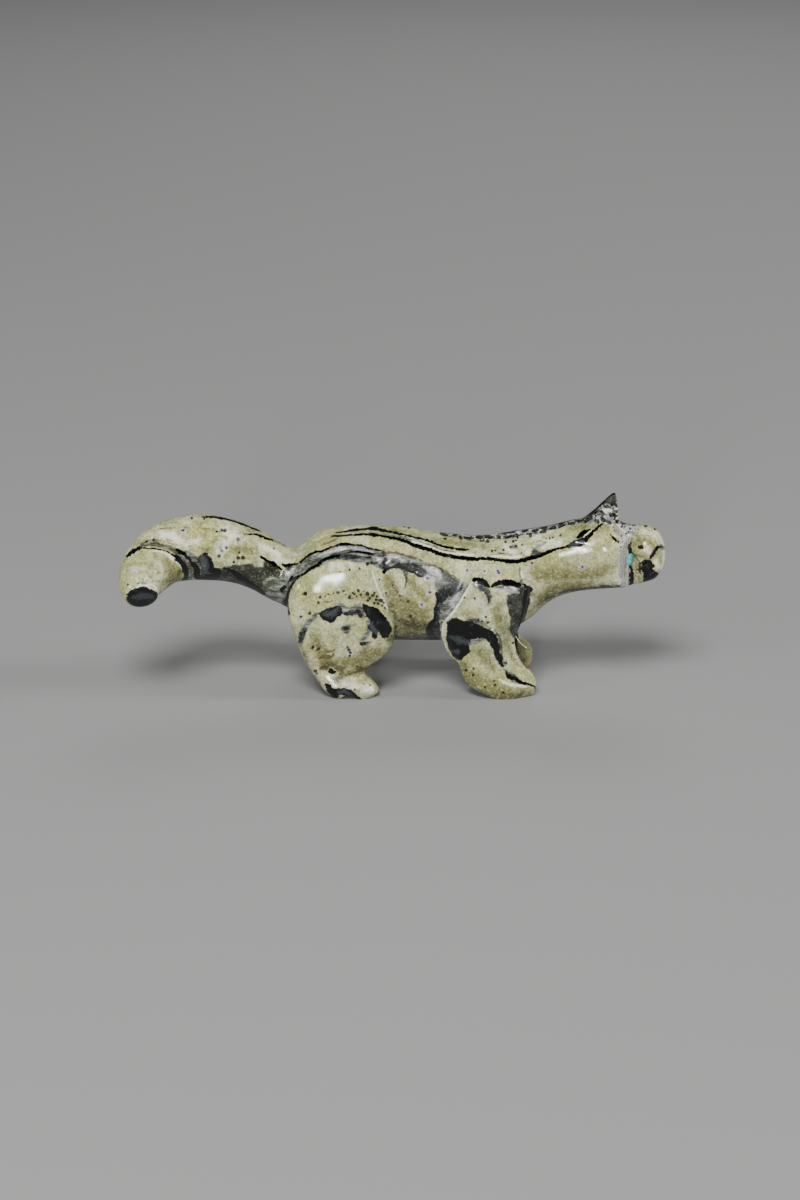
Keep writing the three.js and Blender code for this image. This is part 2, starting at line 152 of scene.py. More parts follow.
TRUNK_TOP = profile([
    (-16, 21.9), (-11.7, 24.6), (-7.1, 26.3), (-2, 26.8), (2, 26.7), (5.5, 26), (9.5, 25.4),
    (14.4, 25), (20, 25.9), (25, 26.8), (30.5, 28), (33.5, 28.1), (37.3, 26.9),
])
TRUNK_BOTTOM = profile([
    (-16, 11.5), (-11, 8.3), (-5, BELLY), (12, BELLY), (17.7, 8.8), (22.6, 11.6), (25.1, 14),
    (27.6, 15.5), (31, 16.5), (37.3, 17.6),
])
TRUNK_HALF_WIDTH = profile([
    (-16, 5), (-11, 6.8), (-6, 7.6), (-1, 7.3), (3, 7.2), (9, 7.5), (14.4, 7.6), (18, 7.3),
    (22.6, 6.3), (27, 5.2), (31, 5.3), (34.5, 5.9), (37.3, 6.2),
])
TRUNK_POWER = profile([(-16, 2.2), (20, 2.3), (28, 2.3), (34, 2.8), (37.3, 3.2)])
TRUNK_TAPER = profile([(-14, 0), (-8, 0.3), (14, 0.3), (21, 0.15), (28, 0)])
MUZZLE_TOP = profile([(37, 27.3), (39.5, 27.2), (41.5, 27), (43, 26.5), (NOSE, 25.2)])
MUZZLE_BOTTOM = profile([(37, 17.3), (39.5, 17.4), (41.5, 17.9), (43, 18.5), (NOSE, 20.1)])
MUZZLE_HALF_WIDTH = profile([
    (37, 1.9), (38.6, 2), (39.8, 2.75), (40.9, 3.15), (42.4, 3.3), (NOSE, 2.9),
])
HIND_LEG = {
    "back": profile([
        (0, -10.3), (1.9, -11.9), (5.9, -14.4), (10, -15.9), (15, -17.2), (19, -16.9), (24.5, -13),
    ]),
    "front": profile([
        (0, -3), (0.9, -2.3), (2.5, -3.3), (4, -4.6), (5.4, -3.4), (8, -0.5), (10.8, 0.4),
        (15.6, -0.7), (20, -2.4), (24.5, -5.5),
    ]),
    "outer": profile([
        (0, 8.5), (1.5, 8.9), (3, 8.5), (4.6, 8), (7, 8.7), (10, 9.3), (13, 9.5), (18, 9.1), (22, 7.7),
        (24.5, 5.6),
    ]),
    "inner": profile([(0, 4), (6, 3.7), (10, 2.4), (24.5, 1)]),
    "top": 25,
    "power": 2.5,
    "bulge": 0.2,
    "ridge": 0.8,
    "bevels": [("front", 1.7, 1.5)],
    "blend": (0.5, 3.5),
    "blend_between": (17, 23),
}
FRONT_LEG = {
    "back": profile([
        (0, 15.2), (1.6, 12.8), (3.4, 11.5), (5.5, 10.8), (7.3, 9.1), (10.5, 7.9), (13.1, 7.4),
        (16.6, 9.3), (21.3, 11.8), (24.5, 13.2),
    ]),
    "front": profile([
        (0, 22.8), (1.1, 23.4), (2.4, 23.5), (3.6, 23.1), (5.2, 21.6), (7.8, 20.2), (9.5, 19.9),
        (12.5, 20.8), (15.4, 21.6), (19.3, 22.2), (24.5, 21.4),
    ]),
    "outer": profile([
        (0, 8.4), (2, 8.7), (4, 8.4), (7, 8), (11, 8.5), (14, 8.7), (17, 8.6), (20.5, 8.1), (24.5, 6.2),
    ]),
    "inner": profile([(0, 4), (7, 3.8), (11, 2.4), (24.5, 1)]),
    "top": 23,
    "power": 3,
    "bulge": 1.1,
    "ridge": 0.25,
    "bevels": [("back", 1.7, 1.4), ("front", 3.2, 1.5)],
    "blend": (0.4, 2.4),
    "blend_between": (20.5, 24),
}
TAIL_PATH = np.array([
    (-11, 0, 17), (-17.8, 0, 18.6), (-21, 0, 20.4), (-24.3, 0, 22.1), (-27.6, 0, 23.1),
    (-31.6, -0.2, 23.6), (-34.8, -0.9, 23.5), (-37.7, -3, 23.1), (-39.8, -6.3, 21.8), (-40.7, -9, 20.2),
    (-40.3, -11.3, 18.9),
])
TAIL_RADIUS = profile([
    (0, 4.6), (0.13, 4.6), (0.25, 4.5), (0.4, 5), (0.55, 5.4), (0.7, 5.1), (0.82, 4.6),
    (0.92, 3.7), (1, 2.5),
])
TAIL_FACET = profile([(0.7, 1.15), (0.8, 0.9), (1, 0.84)])  # its distance out, as a share of the radius
TAIL_STEPS = 90
TAIL_SIDE = -2  # the tail's own field is only worked out behind this X
TAIL_FAR = 10.8  # and this stands for its distance elsewhere
TAIL_SLICE = 100_000  # points that the tail is measured from at a time


def smooth_step(low, high, value):
    """0 below low, 1 above high, and 3 t squared less 2 t cubed between them."""
    t = np.clip((value - low) / (high - low), 0, 1)
    return t * t * (3 - 2 * t)


def superellipse(p, q, a, b, power):
    """Distance from (p, q) to the curve |p / a| ** power + |q / b| ** power = 1, along the ray from its
    centre: the length of (p, q) times (1 - 1 / level), where level is how many times the curve it is at."""
    level = (np.abs(p / a) ** power + np.abs(q / b) ** power) ** (1 / power)
    return np.hypot(p, q) * (1 - 1 / np.maximum(level, 1e-6))


def join(one, other, width):
    """The smaller of two distances, rounded by a parabola over a band of that width."""
    near = np.maximum(width - np.abs(one - other), 0) / width
    return np.minimum(one, other) - near * near * width / 4


def cut(one, other, width):
    """The larger of two distances, rounded in the same way."""
    return -join(-one, -other, width)


def catmull_rom(points, steps):
    """Points spaced evenly along a smooth curve through the given ones. Each stretch is a blend of
    straight lines whose times grow with the square root of the distances (centripetal Catmull-Rom)."""
    ends = [2 * points[0] - points[1], *points, 2 * points[-1] - points[-2]]
    share = np.linspace(0, 1, CURVE_STEPS)[:, None]
    fine = []
    for a, b, c, d in zip(ends, ends[1:], ends[2:], ends[3:]):
        t1 = np.linalg.norm(b - a) ** 0.5
        t2 = t1 + np.linalg.norm(c - b) ** 0.5
        t3 = t2 + np.linalg.norm(d - c) ** 0.5
        t = t1 + (t2 - t1) * share
        ab = (t1 - t) / t1 * a + t / t1 * b
        bc = (t2 - t) / (t2 - t1) * b + (t - t1) / (t2 - t1) * c
        cd = (t3 - t) / (t3 - t2) * c + (t - t2) / (t3 - t2) * d
        abc = (t2 - t) / t2 * ab + t / t2 * bc
        bcd = (t3 - t) / (t3 - t1) * bc + (t - t1) / (t3 - t1) * cd
        fine.append((t2 - t) / (t2 - t1) * abc + (t - t1) / (t2 - t1) * bcd)
    fine = np.concatenate(fine)
    along = np.concatenate([[0], np.cumsum(np.linalg.norm(np.diff(fine, axis=0), axis=1))])
    even = np.linspace(0, along[-1], steps + 1)
    return np.stack([np.interp(even, along, fine[:, k]) for k in range(fine.shape[1])], axis=1)


TAIL_POINTS = catmull_rom(TAIL_PATH, TAIL_STEPS)
TAIL_RADII = TAIL_RADIUS(np.linspace(0, 1, TAIL_STEPS + 1))
TAIL_END = TAIL_POINTS[-1]
TAIL_END_WAY = TAIL_END - TAIL_POINTS[-5]  # the way that the sawn end faces
TAIL_END_WAY /= np.linalg.norm(TAIL_END_WAY)


def cheek_plane(x, y):
    """Distance in front of the two slanting planes that end the neck and carry the eyes."""
    ahead = x - CHEEK_RIDGE - (CHEEK_HALF_WIDTH - np.abs(y)) * CHEEK_SLOPE
    return ahead / math.hypot(1, CHEEK_SLOPE)


def trunk(x, y, z):
    """Superellipses about the trunk's middle line, cut round at the rump and flat at the cheeks."""
    top, bottom = TRUNK_TOP(x), TRUNK_BOTTOM(x)
    middle, half_height = (top + bottom) / 2, (top - bottom) / 2
    low = np.maximum((middle - z) / half_height, 0)
    half_width = TRUNK_HALF_WIDTH(x) * (1 - TRUNK_TAPER(x) * np.minimum(low, 1) ** 2)
    section = superellipse(y, z - middle, half_width, half_height, TRUNK_POWER(x))
    return cut(cut(section, RUMP - x, RUMP_ROUND), cheek_plane(x, y), CHEEK_EDGE)


def muzzle(x, y, z):
    """Superellipses along the muzzle, capped round at the nose and closed inside the head."""
    top, bottom = MUZZLE_TOP(x), MUZZLE_BOTTOM(x)
    middle, half_height = (top + bottom) / 2, (top - bottom) / 2
    section = superellipse(y, z - middle, MUZZLE_HALF_WIDTH(x), half_height, MUZZLE_POWER)
    section = cut(section, x - NOSE, NOSE_ROUND)
    return cut(section, CHEEK_RIDGE - MUZZLE_ROOT - x, MUZZLE_ROOT_ROUND)


def ear(x, y, z):
    """One ear: what is left between four slanting planes: sloping back, upright front, two sides."""
    tip_x = np.where(y > 0, LEFT_EAR_TIP[0], RIGHT_EAR_TIP[0])
    tip_z = np.where(y > 0, LEFT_EAR_TIP[1], RIGHT_EAR_TIP[1])
    side, ahead, up = np.abs(y) - EAR_OUT, x - tip_x, z - tip_z

    def pair(level, *planes):
        """Distance outside two planes: the place times a plane's slopes, less how far out it stands."""
        one, other = (along * level + upward * up - out for along, upward, out in planes)
        return cut(one, other, EAR_RIDGE)

    fin = cut(pair(ahead, EAR_BACK, EAR_FRONT), pair(side, EAR_OUTSIDE, EAR_INSIDE), EAR_CORNER)
    return cut(fin, EAR_FOOT - z, EAR_FOOT_ROUND)


def leg(shape, x, outward, z, step):
    """Superellipses down a leg between its four edges, with the outer face flattened."""
    set_back = step * (1 - smooth_step(0, STEP_HEIGHT, z))
    back, front = shape["back"](z) - set_back, shape["front"](z) - set_back
    outer, inner = shape["outer"](z), shape["inner"](z)
    full = outer + shape["bulge"]
    section = superellipse(
        x - (back + front) / 2, outward - (full + inner) / 2,
        (front - back) / 2, (full - inner) / 2, shape["power"],
    )
    section = cut(section, outward - outer, shape["ridge"])
    for edge, along, inwards in shape["bevels"]:
        past = x - front if edge == "front" else back - x
        bevel = (past / along + (outward - outer) / inwards + 1) / math.hypot(1 / along, 1 / inwards)
        section = cut(section, bevel, BEVEL_RIDGE)
    return cut(section, z - shape["top"], LEG_TOP_ROUND)


def in_slices(places, measure, size):
    """The measure of all places, worked out for that many of them at a time."""
    return np.concatenate([measure(places[i:i + size]) for i in range(0, len(places), size)])


def tail_tube(p):
    """Distance to the tail's path less its radius there, cut flat along one side and square at the end.
    The nearest place on the path is found between its points by a parabola through the squared
    distances to three of them."""
    squares = (p * p).sum(1)[:, None] - 2 * p @ TAIL_POINTS.T + (TAIL_POINTS ** 2).sum(1)
    i = 1 + np.argmin(squares[:, 1:-1], axis=1)
    row = np.arange(len(p))
    before, here, after = squares[row, i - 1], squares[row, i], squares[row, i + 1]
    t = np.clip((before - after) / (2 * np.maximum(before - 2 * here + after, 1e-9)), -1, 1)
    weights = [(t * t - t) / 2, 1 - t * t, (t * t + t) / 2]
    place = sum(w[:, None] * TAIL_POINTS[i + k] for w, k in zip(weights, (-1, 0, 1)))
    radius = sum(w * TAIL_RADII[i + k] for w, k in zip(weights, (-1, 0, 1)))
    tube = np.linalg.norm(p - place, axis=1) - radius
    facet = (p - place) @ np.array(TAIL_FACET_WAY) - TAIL_FACET((i + t) / TAIL_STEPS) * radius
    return cut(cut(tube, facet, BEVEL_RIDGE), (p - TAIL_END) @ TAIL_END_WAY, TAIL_END_RIDGE)


def tail(x, y, z):
    """The tail, measured only where it could be near."""
    x, y, z = np.broadcast_arrays(x, y, z)
    near = x < TAIL_SIDE
    distance = np.full(x.shape, TAIL_FAR)
    distance[near] = in_slices(np.stack([x[near], y[near], z[near]], axis=1), tail_tube, TAIL_SLICE)
    return distance


def grooves(x, y, z):
    """Distance to the upright saw groove that parts cheek from muzzle on each side."""
    ahead = x - CHEEK_RIDGE - (CHEEK_HALF_WIDTH - GROOVE_OUT) * CHEEK_SLOPE
    round_cut = np.hypot(ahead, np.abs(y) - GROOVE_OUT) - GROOVE_RADIUS
    return cut(round_cut, z - GROOVE_TOP, GROOVE_END_ROUND)


def foot_folds(x, outward, z, step):
    """Distance to the fold over a front paw, a bar from toe to shin, and the arch under a hind paw."""
    along = np.subtract(FOLD_TOE, FOLD_TOP)
    dx, dy, dz = x - FOLD_TOP[0], outward - FOLD_TOP[1], z - FOLD_TOP[2]
    share = np.clip((dx * along[0] + dy * along[1] + dz * along[2]) / (along @ along), 0, 1)
    dx, dy, dz = dx - along[0] * share, dy - along[1] * share, dz - along[2] * share
    fold = np.sqrt(dx ** 2 + dy ** 2 + dz ** 2)
    arch = np.hypot(x + step - ARCH_X, z - ARCH_DROP)
    return np.minimum(fold - FOLD_RADIUS, arch - ARCH_RADIUS)


def eye_frame(side):
    """Where an eye sits on its cheek plane, and the directions out of the cheek and along it."""
    place = np.array([CHEEK_RIDGE + (CHEEK_HALF_WIDTH - EYE_OUT) * CHEEK_SLOPE, side * EYE_OUT, EYE_HEIGHT])
    out = np.array([1, side * CHEEK_SLOPE, 0]) / math.hypot(1, CHEEK_SLOPE)
    return place, out, np.cross([0, 0, 1], out)


def sockets(x, y, z):
    """Distance to the drilled seats of the eyes: round, and open towards the front."""
    place, out, along = eye_frame(LEFT)
    dx, dy, dz = x - place[0], np.abs(y) - place[1], z - place[2]
    depth = dx * out[0] + dy * out[1]
    across = np.hypot(dx * along[0] + dy * along[1], dz) - EYE_DIAMETER / 2 - EYE_SEAT
    return np.maximum(across, EYE_PROUD - EYE_THICKNESS - EYE_SEAT - depth)


def carving(x, y, z):
    """The whole carving: below zero inside the stone and above zero outside it."""
    outward = np.abs(y)
    step = np.where(y > 0, HIND_STEP, 0.0)
    stone = join(trunk(x, y, z), muzzle(x, y, z), MUZZLE_BLEND)
    stone = join(stone, ear(x, y, z), EAR_BLEND)
    stone = join(stone, tail(x, y, z), TAIL_BLEND)
    for shape, set_back in ((HIND_LEG, step), (FRONT_LEG, 0)):
        sharp, soft = shape["blend"]
        blend = sharp + (soft - sharp) * smooth_step(*shape["blend_between"], z)
        stone = join(stone, leg(shape, x, outward, z, set_back), blend)
    stone = cut(stone, -foot_folds(x, outward, z, step), FOLD_EDGE)
    stone = cut(stone, -grooves(x, y, z), GROOVE_EDGE)
    stone = np.maximum(stone, -sockets(x, y, z))
    return np.maximum(stone, -z)


def slope_of(field, at):
    """The field's rise in each direction, from its values a little way to either side."""
    steps = np.eye(3) * SLOPE_REACH
    rises = [field(*(at + step).T) - field(*(at - step).T) for step in steps]
    return np.stack(rises, axis=1) / (2 * SLOPE_REACH)


def planes(start, spans):
    """Lattice planes from start through each (end, step), in equal steps close to the one asked for."""
    stops = [np.array([start], float)]
    for end, step in spans:
        count = max(round((end - stops[-1][-1]) / step), 1)
        stops.append(np.linspace(stops[-1][-1], end, count + 1)[1:])
    return np.concatenate(stops)


def finer_between(stretch, end):
    """The (end, step) pairs of planes with the face's finer step along one stretch."""
    return [(stretch[0], CELL), (stretch[1], FACE_CELL), (end, CELL)]


def crossings_of(field, lattice, stride):
    """Each crossing of a lattice edge with the surface: the four cells around the edge, turned outwards,
    the place, found by false position between points on either side, and the surface's normal there.
    A cell's number is the sum of its lowest corner's places in the lattice times the strides."""
    xs, ys, zs = lattice
    values = field(xs[:, None, None], ys[None, :, None], zs[None, None, :])
    cells, crossings, normals = [], [], []
    for axis in range(3):
        low, high = [slice(None)] * 3, [slice(None)] * 3
        low[axis], high[axis] = slice(None, -1), slice(1, None)
        low, high = tuple(low), tuple(high)
        node = np.argwhere((values[low] < 0) != (values[high] < 0))
        after = node + np.eye(3, dtype=int)[axis]
        a = np.stack([lattice[k][node[:, k]] for k in range(3)], axis=1)
        b = np.stack([lattice[k][after[:, k]] for k in range(3)], axis=1)
        at_low, at_high = values[tuple(node.T)], values[tuple(after.T)]
        going_out = at_low < 0
        share_low, share_high = np.zeros(len(a)), np.ones(len(a))
        for _ in range(CROSSING_ROUNDS):
            share = share_low + (share_high - share_low) * at_low / (at_low - at_high)
            value = field(*(a + (b - a) * share[:, None]).T)
            same = (value < 0) == (at_low < 0)
            share_low, at_low = np.where(same, share, share_low), np.where(same, value, at_low)
            share_high, at_high = np.where(same, share_high, share), np.where(same, at_high, value)
        point = a + (b - a) * share[:, None]
        slope = slope_of(field, point)
        u, v = stride[(axis + 1) % 3], stride[(axis + 2) % 3]
        own = node @ stride
        ring = np.stack([own - u - v, own - v, own, own - u], axis=1)
        cells.append(np.where(going_out[:, None], ring, ring[:, ::-1]))
        crossings.append(point)
        normals.append(slope / np.linalg.norm(slope, axis=1, keepdims=True))
    return map(np.concatenate, (cells, crossings, normals))


def surface_of(field, lattice):
    """A closed net of quads where the field is zero. Each lattice edge that the field changes sign on
    gives one quad between the four cells around it, and each cell one point: the one nearest to the
    planes that touch the surface where its edges cross it, found by least squares and kept in the cell."""
    stride = np.array([len(lattice[1]) * len(lattice[2]), len(lattice[2]), 1])
    cells, point, normal = crossings_of(field, lattice, stride)
    ids, quads = np.unique(cells, return_inverse=True)
    quads = quads.reshape(-1, 4)
    total = len(ids)
    which = quads.ravel()
    point, normal = np.repeat(point, 4, axis=0), np.repeat(normal, 4, axis=0)

    def gather(weights):
        """The sum of the weights of each cell's crossings, or with None how many it has."""
        return np.bincount(which, weights, total)

    count = gather(None)
    middle = np.stack([gather(point[:, k]) for k in range(3)], axis=1) / count[:, None]
    matrix = np.empty((total, 3, 3))
    for r in range(3):
        for c in range(3):
            matrix[:, r, c] = gather(normal[:, r] * normal[:, c]) + (PULL if r == c else 0)
    offset = (normal * (point - middle[which])).sum(1)
    want = np.stack([gather(normal[:, k] * offset) for k in range(3)], axis=1)
    place = middle + np.linalg.solve(matrix, want[:, :, None])[:, :, 0]
    corner = np.stack([ids // stride[0], ids % stride[0] // stride[1], ids % stride[1]], axis=1)
    least = np.stack([lattice[k][corner[:, k]] for k in range(3)], axis=1)
    most = np.stack([lattice[k][corner[:, k] + 1] for k in range(3)], axis=1)
    margin = (most - least) * CELL_MARGIN
    return np.clip(place, least + margin, most - margin), quads


def mesh_piece(name, places, kinds, slot=None):
    """A smooth-shaded mesh object with its place in its mesh. Its faces come as one array for each number
    of sides. With a slot it is a piece of the part, and rides on the one body."""
    sides = np.concatenate([np.full(len(faces), np.shape(faces)[1]) for faces in kinds])
    corners = np.concatenate([np.ravel(faces) for faces in kinds])
    mesh = bpy.data.meshes.new(name)
    mesh.vertices.add(len(places))
    mesh.vertices.foreach_set("co", np.asarray(places, np.float32).ravel())
    mesh.loops.add(len(corners))
    mesh.loops.foreach_set("vertex_index", corners.astype(np.int32))
    mesh.polygons.add(len(sides))
    mesh.polygons.foreach_set("loop_start", (np.cumsum(sides) - sides).astype(np.int32))
    mesh.polygons.foreach_set("use_smooth", np.ones(len(sides), bool))
    mesh.update(calc_edges=True)
    mesh.validate()
    piece = bpy.data.objects.new(name, mesh)
    bpy.context.scene.collection.objects.link(piece)
    if slot:
        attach(piece, "root")
    return piece


def row_shift():
    """What is added to the carving's own coordinates to reach the part's: how far the middles of the
    packed eyes' boxes lie from their own. Heights are the same in both."""
    shifts = []
    for side, _, node in EYES:
        place, out, _ = eye_frame(side)
        own = place + out * (EYE_PROUD - EYE_THICKNESS / 2)
        shifts.append(np.mean(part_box(node), axis=0) / MM - own)
    return np.mean(shifts, axis=0) * [1, 1, 0]


SHIFT = row_shift()


def stone_body():
    """The carving, found on a lattice that is finer round the face, with each point then moved along
    the field's slope on to the surface."""
    low, high = (np.array(corner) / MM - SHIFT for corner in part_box("stone_body"))
    lattice = (
        planes(low[0] - PAST, finer_between(FACE_LENGTH, high[0] + PAST)),
        planes(low[1] - PAST, [(high[1] + PAST, CELL)]),
        planes(low[2] - PAST, finer_between(FACE_HEIGHT, high[2] + PAST)),
    )
    places, quads = surface_of(carving, lattice)
    value = carving(*places.T)
    slope = slope_of(carving, places)
    step = value / np.maximum((slope * slope).sum(1), LEAST_SLOPE ** 2)
    places = places - slope * np.clip(step, -LAST_STEP, LAST_STEP)[:, None]
    places[:, 2] = np.maximum(places[:, 2], 0)
    print("stone_body", len(places), "points", len(quads) * 2, "triangles")
    return places, quads


# The stone's markings, drawn as they are seen from the animal's right side. Places are pixels of the
# 800 x 1200 photograph's frame, and picture_place says where the stone's points show in it.
# A line is a list of (across, down, half width), and an area is the closed outline of its corners.
# Black and dark veins and patches come first, then the grey bands, then what is laid over them. Some marks
# are painted shade, and some painted highlights, as said with each.
BLACK_LINES = {
    "tail ring": [
        (127, 556.5, 0.8), (130, 553.5, 1.8), (134, 551, 2), (138, 548.7, 1.5), (142, 547.6, 0.6),
        (150, 548.8, 0.5), (157, 549, 0.6), (163, 550, 0.3), (169, 552.6, 0.6), (174, 556, 1),
        (179, 561, 1.6), (183, 566, 1.8), (185.5, 572, 1.8), (186, 577, 1.8), (183, 581.5, 1.5),
        (178, 584, 0.5),
    ],
    "tail streak": [
        (177.5, 550, 1.2), (181, 552, 2.1), (185, 555, 1.3), (189, 559.5, 1.2), (193, 564.5, 2.3),
        (197, 570, 3), (197, 576, 3.2), (200, 579, 3),
    ],
    "tail top edge": [
        (202, 517, 0.6), (212, 517, 0.9), (220, 518.2, 1), (228, 519.6, 0.7), (236, 522, 0.9),
        (244, 524.8, 0.7), (252, 528, 0.6), (261, 531.3, 0.4),
    ],
    "tail thin line": [
        (250, 534.4, 0.4), (256, 534.4, 0.9), (262, 536.5, 0.8), (268, 539, 0.9), (273, 540.2, 0.4),
    ],
    "upper back line": [
        (336, 532.8, 0.3), (345, 531.5, 0.8), (357, 529.4, 1), (366, 529, 0.9), (373, 528, 1.8),
        (379, 529.3, 1.3), (388, 531.5, 0.9), (400, 533.7, 0.9), (410, 536, 0.9), (422, 539, 0.9),
        (431, 541.8, 1), (443, 546.4, 0.9), (456, 548.6, 1), (464, 549.4, 0.8), (470, 550, 0.2),
    ],
    "lower back line": [
        (332, 536.2, 0.4), (345, 535.3, 0.8), (360, 534.5, 1), (369, 534.3, 1.1), (373.5, 534.8, 2),
        (379, 535.5, 1.1), (392, 538, 1.4), (400, 539.4, 1.6), (407, 542, 1.2), (413, 545, 1.5),
        (420, 547.2, 2), (430, 549.9, 1.8), (442, 554.4, 1.8), (458, 557.4, 1.7), (474, 558.8, 1.6),
        (489, 558.7, 1.4), (498, 560, 1.8), (510, 561.4, 1.9), (522, 560.3, 2), (532, 557.3, 2.4),
        (541, 554.8, 2), (549, 551.8, 1.5), (558, 548.8, 1.1), (566, 546.7, 1.1), (572, 544.4, 1.8),
        (578, 541.8, 2.2), (584, 540, 2.4), (589, 536, 1.6), (594, 531, 1.3), (598, 527.3, 1.2),
        (602, 523.6, 0.9),
    ],
    "neck wedge": [(577, 538, 0.8), (581, 535, 2), (585, 531.8, 1.9), (590, 529.8, 0.6)],
    "grey band top": [
        (300, 563, 0.9), (305, 558.3, 1), (311, 553.8, 0.9), (316, 552, 1.2), (322, 551.3, 0.9),
        (329, 547.8, 0.6), (338, 544.8, 0.8), (345, 543.9, 1.3), (352, 544.5, 1), (362, 545.8, 0.7),
        (372, 549, 0.7), (381, 550.8, 0.6),
    ],
    "grey band heart": [
        (290, 580, 0.9), (297, 577, 0.9), (304, 573.5, 0.9), (310, 569, 1), (317, 565.2, 1.3),
        (322, 561.2, 1.2), (328, 558, 1.5), (334, 556.5, 1.3), (339, 555.3, 0.5),
    ],
    "grey band core": [(346, 552.6, 0.4), (354, 551.8, 0.9), (363, 552.8, 1.3), (373, 554.2, 0.7)],
    "band underside": [
        (384, 571.5, 1.8), (388, 568.6, 1.3), (393, 567.5, 1), (398, 567.5, 0.9), (403, 567.2, 0.9),
        (409, 570.7, 1), (415, 573, 1.2), (420, 576, 1.2), (424, 575.8, 0.8),
    ],
    "band tail edge": [(292, 577.5, 1.2), (289.5, 580.8, 0.8)],
    "root blot": [(285.5, 586.5, 1.3), (282, 589.5, 1.6)],
    "haunch edge": [
        (303, 573.5, 0.7), (297, 578, 1), (292.5, 584, 1.1), (289, 590.5, 1.2), (287, 598, 1.6),
        (287, 606, 1.8), (288.5, 614, 1),
    ],
    "flank edge": [
        (437, 594, 2), (439, 599, 2.4), (437, 604, 1), (436, 609, 1.9), (435, 614, 1), (435, 619, 1.5),
        (431, 624, 2), (429, 629, 2.6), (431, 635, 3), (436, 640, 3),
    ],
    "leg top left": [
        (474.5, 580, 2.1), (479, 580.8, 3), (484, 582.6, 2.9), (487.5, 585.6, 1.5), (489.5, 587.6, 0.6),
    ],
    "leg top right": [
        (491.5, 587, 0.9), (495, 584.6, 1.9), (500, 582.8, 2.6), (508, 582.6, 3.1), (514, 583.8, 2.8),
        (519, 585.4, 2),
    ],
    # Partly the stone's black, partly painted shade on the leg's front face.
    "leg front": [
        (524, 584.5, 1.3), (527, 587, 2), (531, 589, 1.9), (527, 592, 2.5), (526, 600, 3), (525, 608, 2.4),
        (522, 617, 1.4), (519, 626, 0.8),
    ],
    "paw line": [
        (505, 671, 0.6), (507, 674, 1.3), (509.5, 677, 1.6), (514, 678.8, 0.9), (519, 681.3, 1.4),
        (524, 683.2, 1.2), (530, 684.6, 1), (535, 687, 0.6), (536, 691, 0.8),
    ],
    "muzzle diagonal": [(657, 547, 1), (655.3, 550, 1.7), (653, 554, 1.7), (650.6, 558, 1)],
    "eyebrow spot": [(639.3, 547.6, 1.7), (641.5, 547.2, 1.8)],
    "forehead mark": [(610.5, 534.5, 0.5), (612.5, 537, 1), (615.5, 539.8, 1.1), (618.6, 542, 0.9)],
    "groove shade": [(629, 545, 0.9), (629.8, 549, 1.7), (630.6, 553, 1.7)],
    "groove foot": [(631, 566, 0.9), (631.6, 572, 1.3), (632, 579, 1.7), (631.6, 586, 1.6)],
    "ear edge": [
        (560, 523, 1), (568, 520.5, 1), (576, 518.6, 0.8), (584, 517, 0.9), (590, 513.6, 1),
        (597, 508.5, 1), (603, 502, 1), (608, 496.5, 1), (612, 493.8, 1), (617, 494.2, 0.8),
        (618, 500, 0.6), (618.5, 507, 0.5),
    ],
    "tail dark low": [
        (204, 577, 2.4), (214, 577, 3.2), (220, 571, 2.2), (212, 570, 3), (209, 560, 2.6), (205, 556, 3),
    ],
    "tail dark mid": [
        (224, 568, 0.8), (232, 571, 1.6), (240, 577, 3), (248, 583, 3), (256, 588, 2.4), (264, 594, 1.4),
    ],
    "tail upper rim": [
        (261, 556.6, 0.6), (265, 559.5, 1), (269, 561.8, 1), (273, 563.2, 1.8), (277, 566.5, 1.1),
        (281, 569, 1.2), (284, 572, 0.7),
    ],
    "root rim": [(283, 565, 1.4), (288, 565.6, 1.5), (293, 564.5, 0.9), (298, 563.8, 0.9)],
    "neck wedge body": [
        (566, 547.4, 1), (573, 545.5, 2.6), (579, 543.4, 3.4), (584, 540.6, 3), (588, 537, 1.8),
    ],
    "haunch blot": [(331, 671, 2.6), (333.5, 672, 2)],
    "tail ring low": [(176, 556, 1.4), (181, 561, 2), (185, 567, 2.2), (186.5, 573, 2), (186, 578, 1.8)],
}
BLACK_AREAS = {
    "haunch left": [
        (317.5, 614.5), (321, 611), (327, 608.3), (334, 606.3), (338, 604.8), (341.5, 607.5), (342.5, 612),
        (341.5, 615.5), (337, 617.5), (334.5, 621), (331.5, 623.3), (327, 622), (322, 618.5),
    ],
    "haunch right": [
        (362, 603.6), (368, 605), (375, 607.4), (381, 612), (386, 617.5), (391, 624.5), (392.5, 630),
        (390, 634), (388, 637.6), (382, 638.6), (380.5, 634), (378, 630), (377.5, 637), (374.5, 640),
        (371, 637), (372, 632), (367, 628), (370, 624), (370.5, 620.5), (366, 616.5), (363.5, 611),
    ],
    "muzzle patch": [
        (641, 561), (645, 559), (650, 560), (653, 563), (655.5, 566), (653, 569), (657, 571.5), (661, 575),
        (660, 582), (650, 586), (643, 586), (643.6, 577), (643, 572), (640.5, 569), (642, 565),
    ],
    "front leg": [
        (447, 621), (456, 617.5), (462, 620.5), (470, 621.5), (478, 624.5), (486, 627.5), (493, 631),
        (497.5, 636.5), (499.5, 644), (499, 650), (500.5, 655.5), (504, 656.5), (502, 661), (504.5, 668.5),
        (500, 665.5), (496, 660), (493.5, 652), (490.5, 645), (487.5, 640.5), (483, 637.5), (477, 638.5),
        (471, 640), (468, 643), (470, 647.5), (470.5, 650.5), (467, 655), (462, 660), (456.5, 660),
        (451.5, 655), (448, 647), (446.5, 638), (446.5, 629),
    ],
    "heel": [
        (324.5, 684), (328, 683), (331, 685), (333, 688.5), (340, 688), (346, 688.5), (352, 690),
        (356, 694), (362, 699), (360, 703), (352, 700), (346, 696), (339, 694), (337, 699), (331, 697),
        (327, 691),
    ],
}
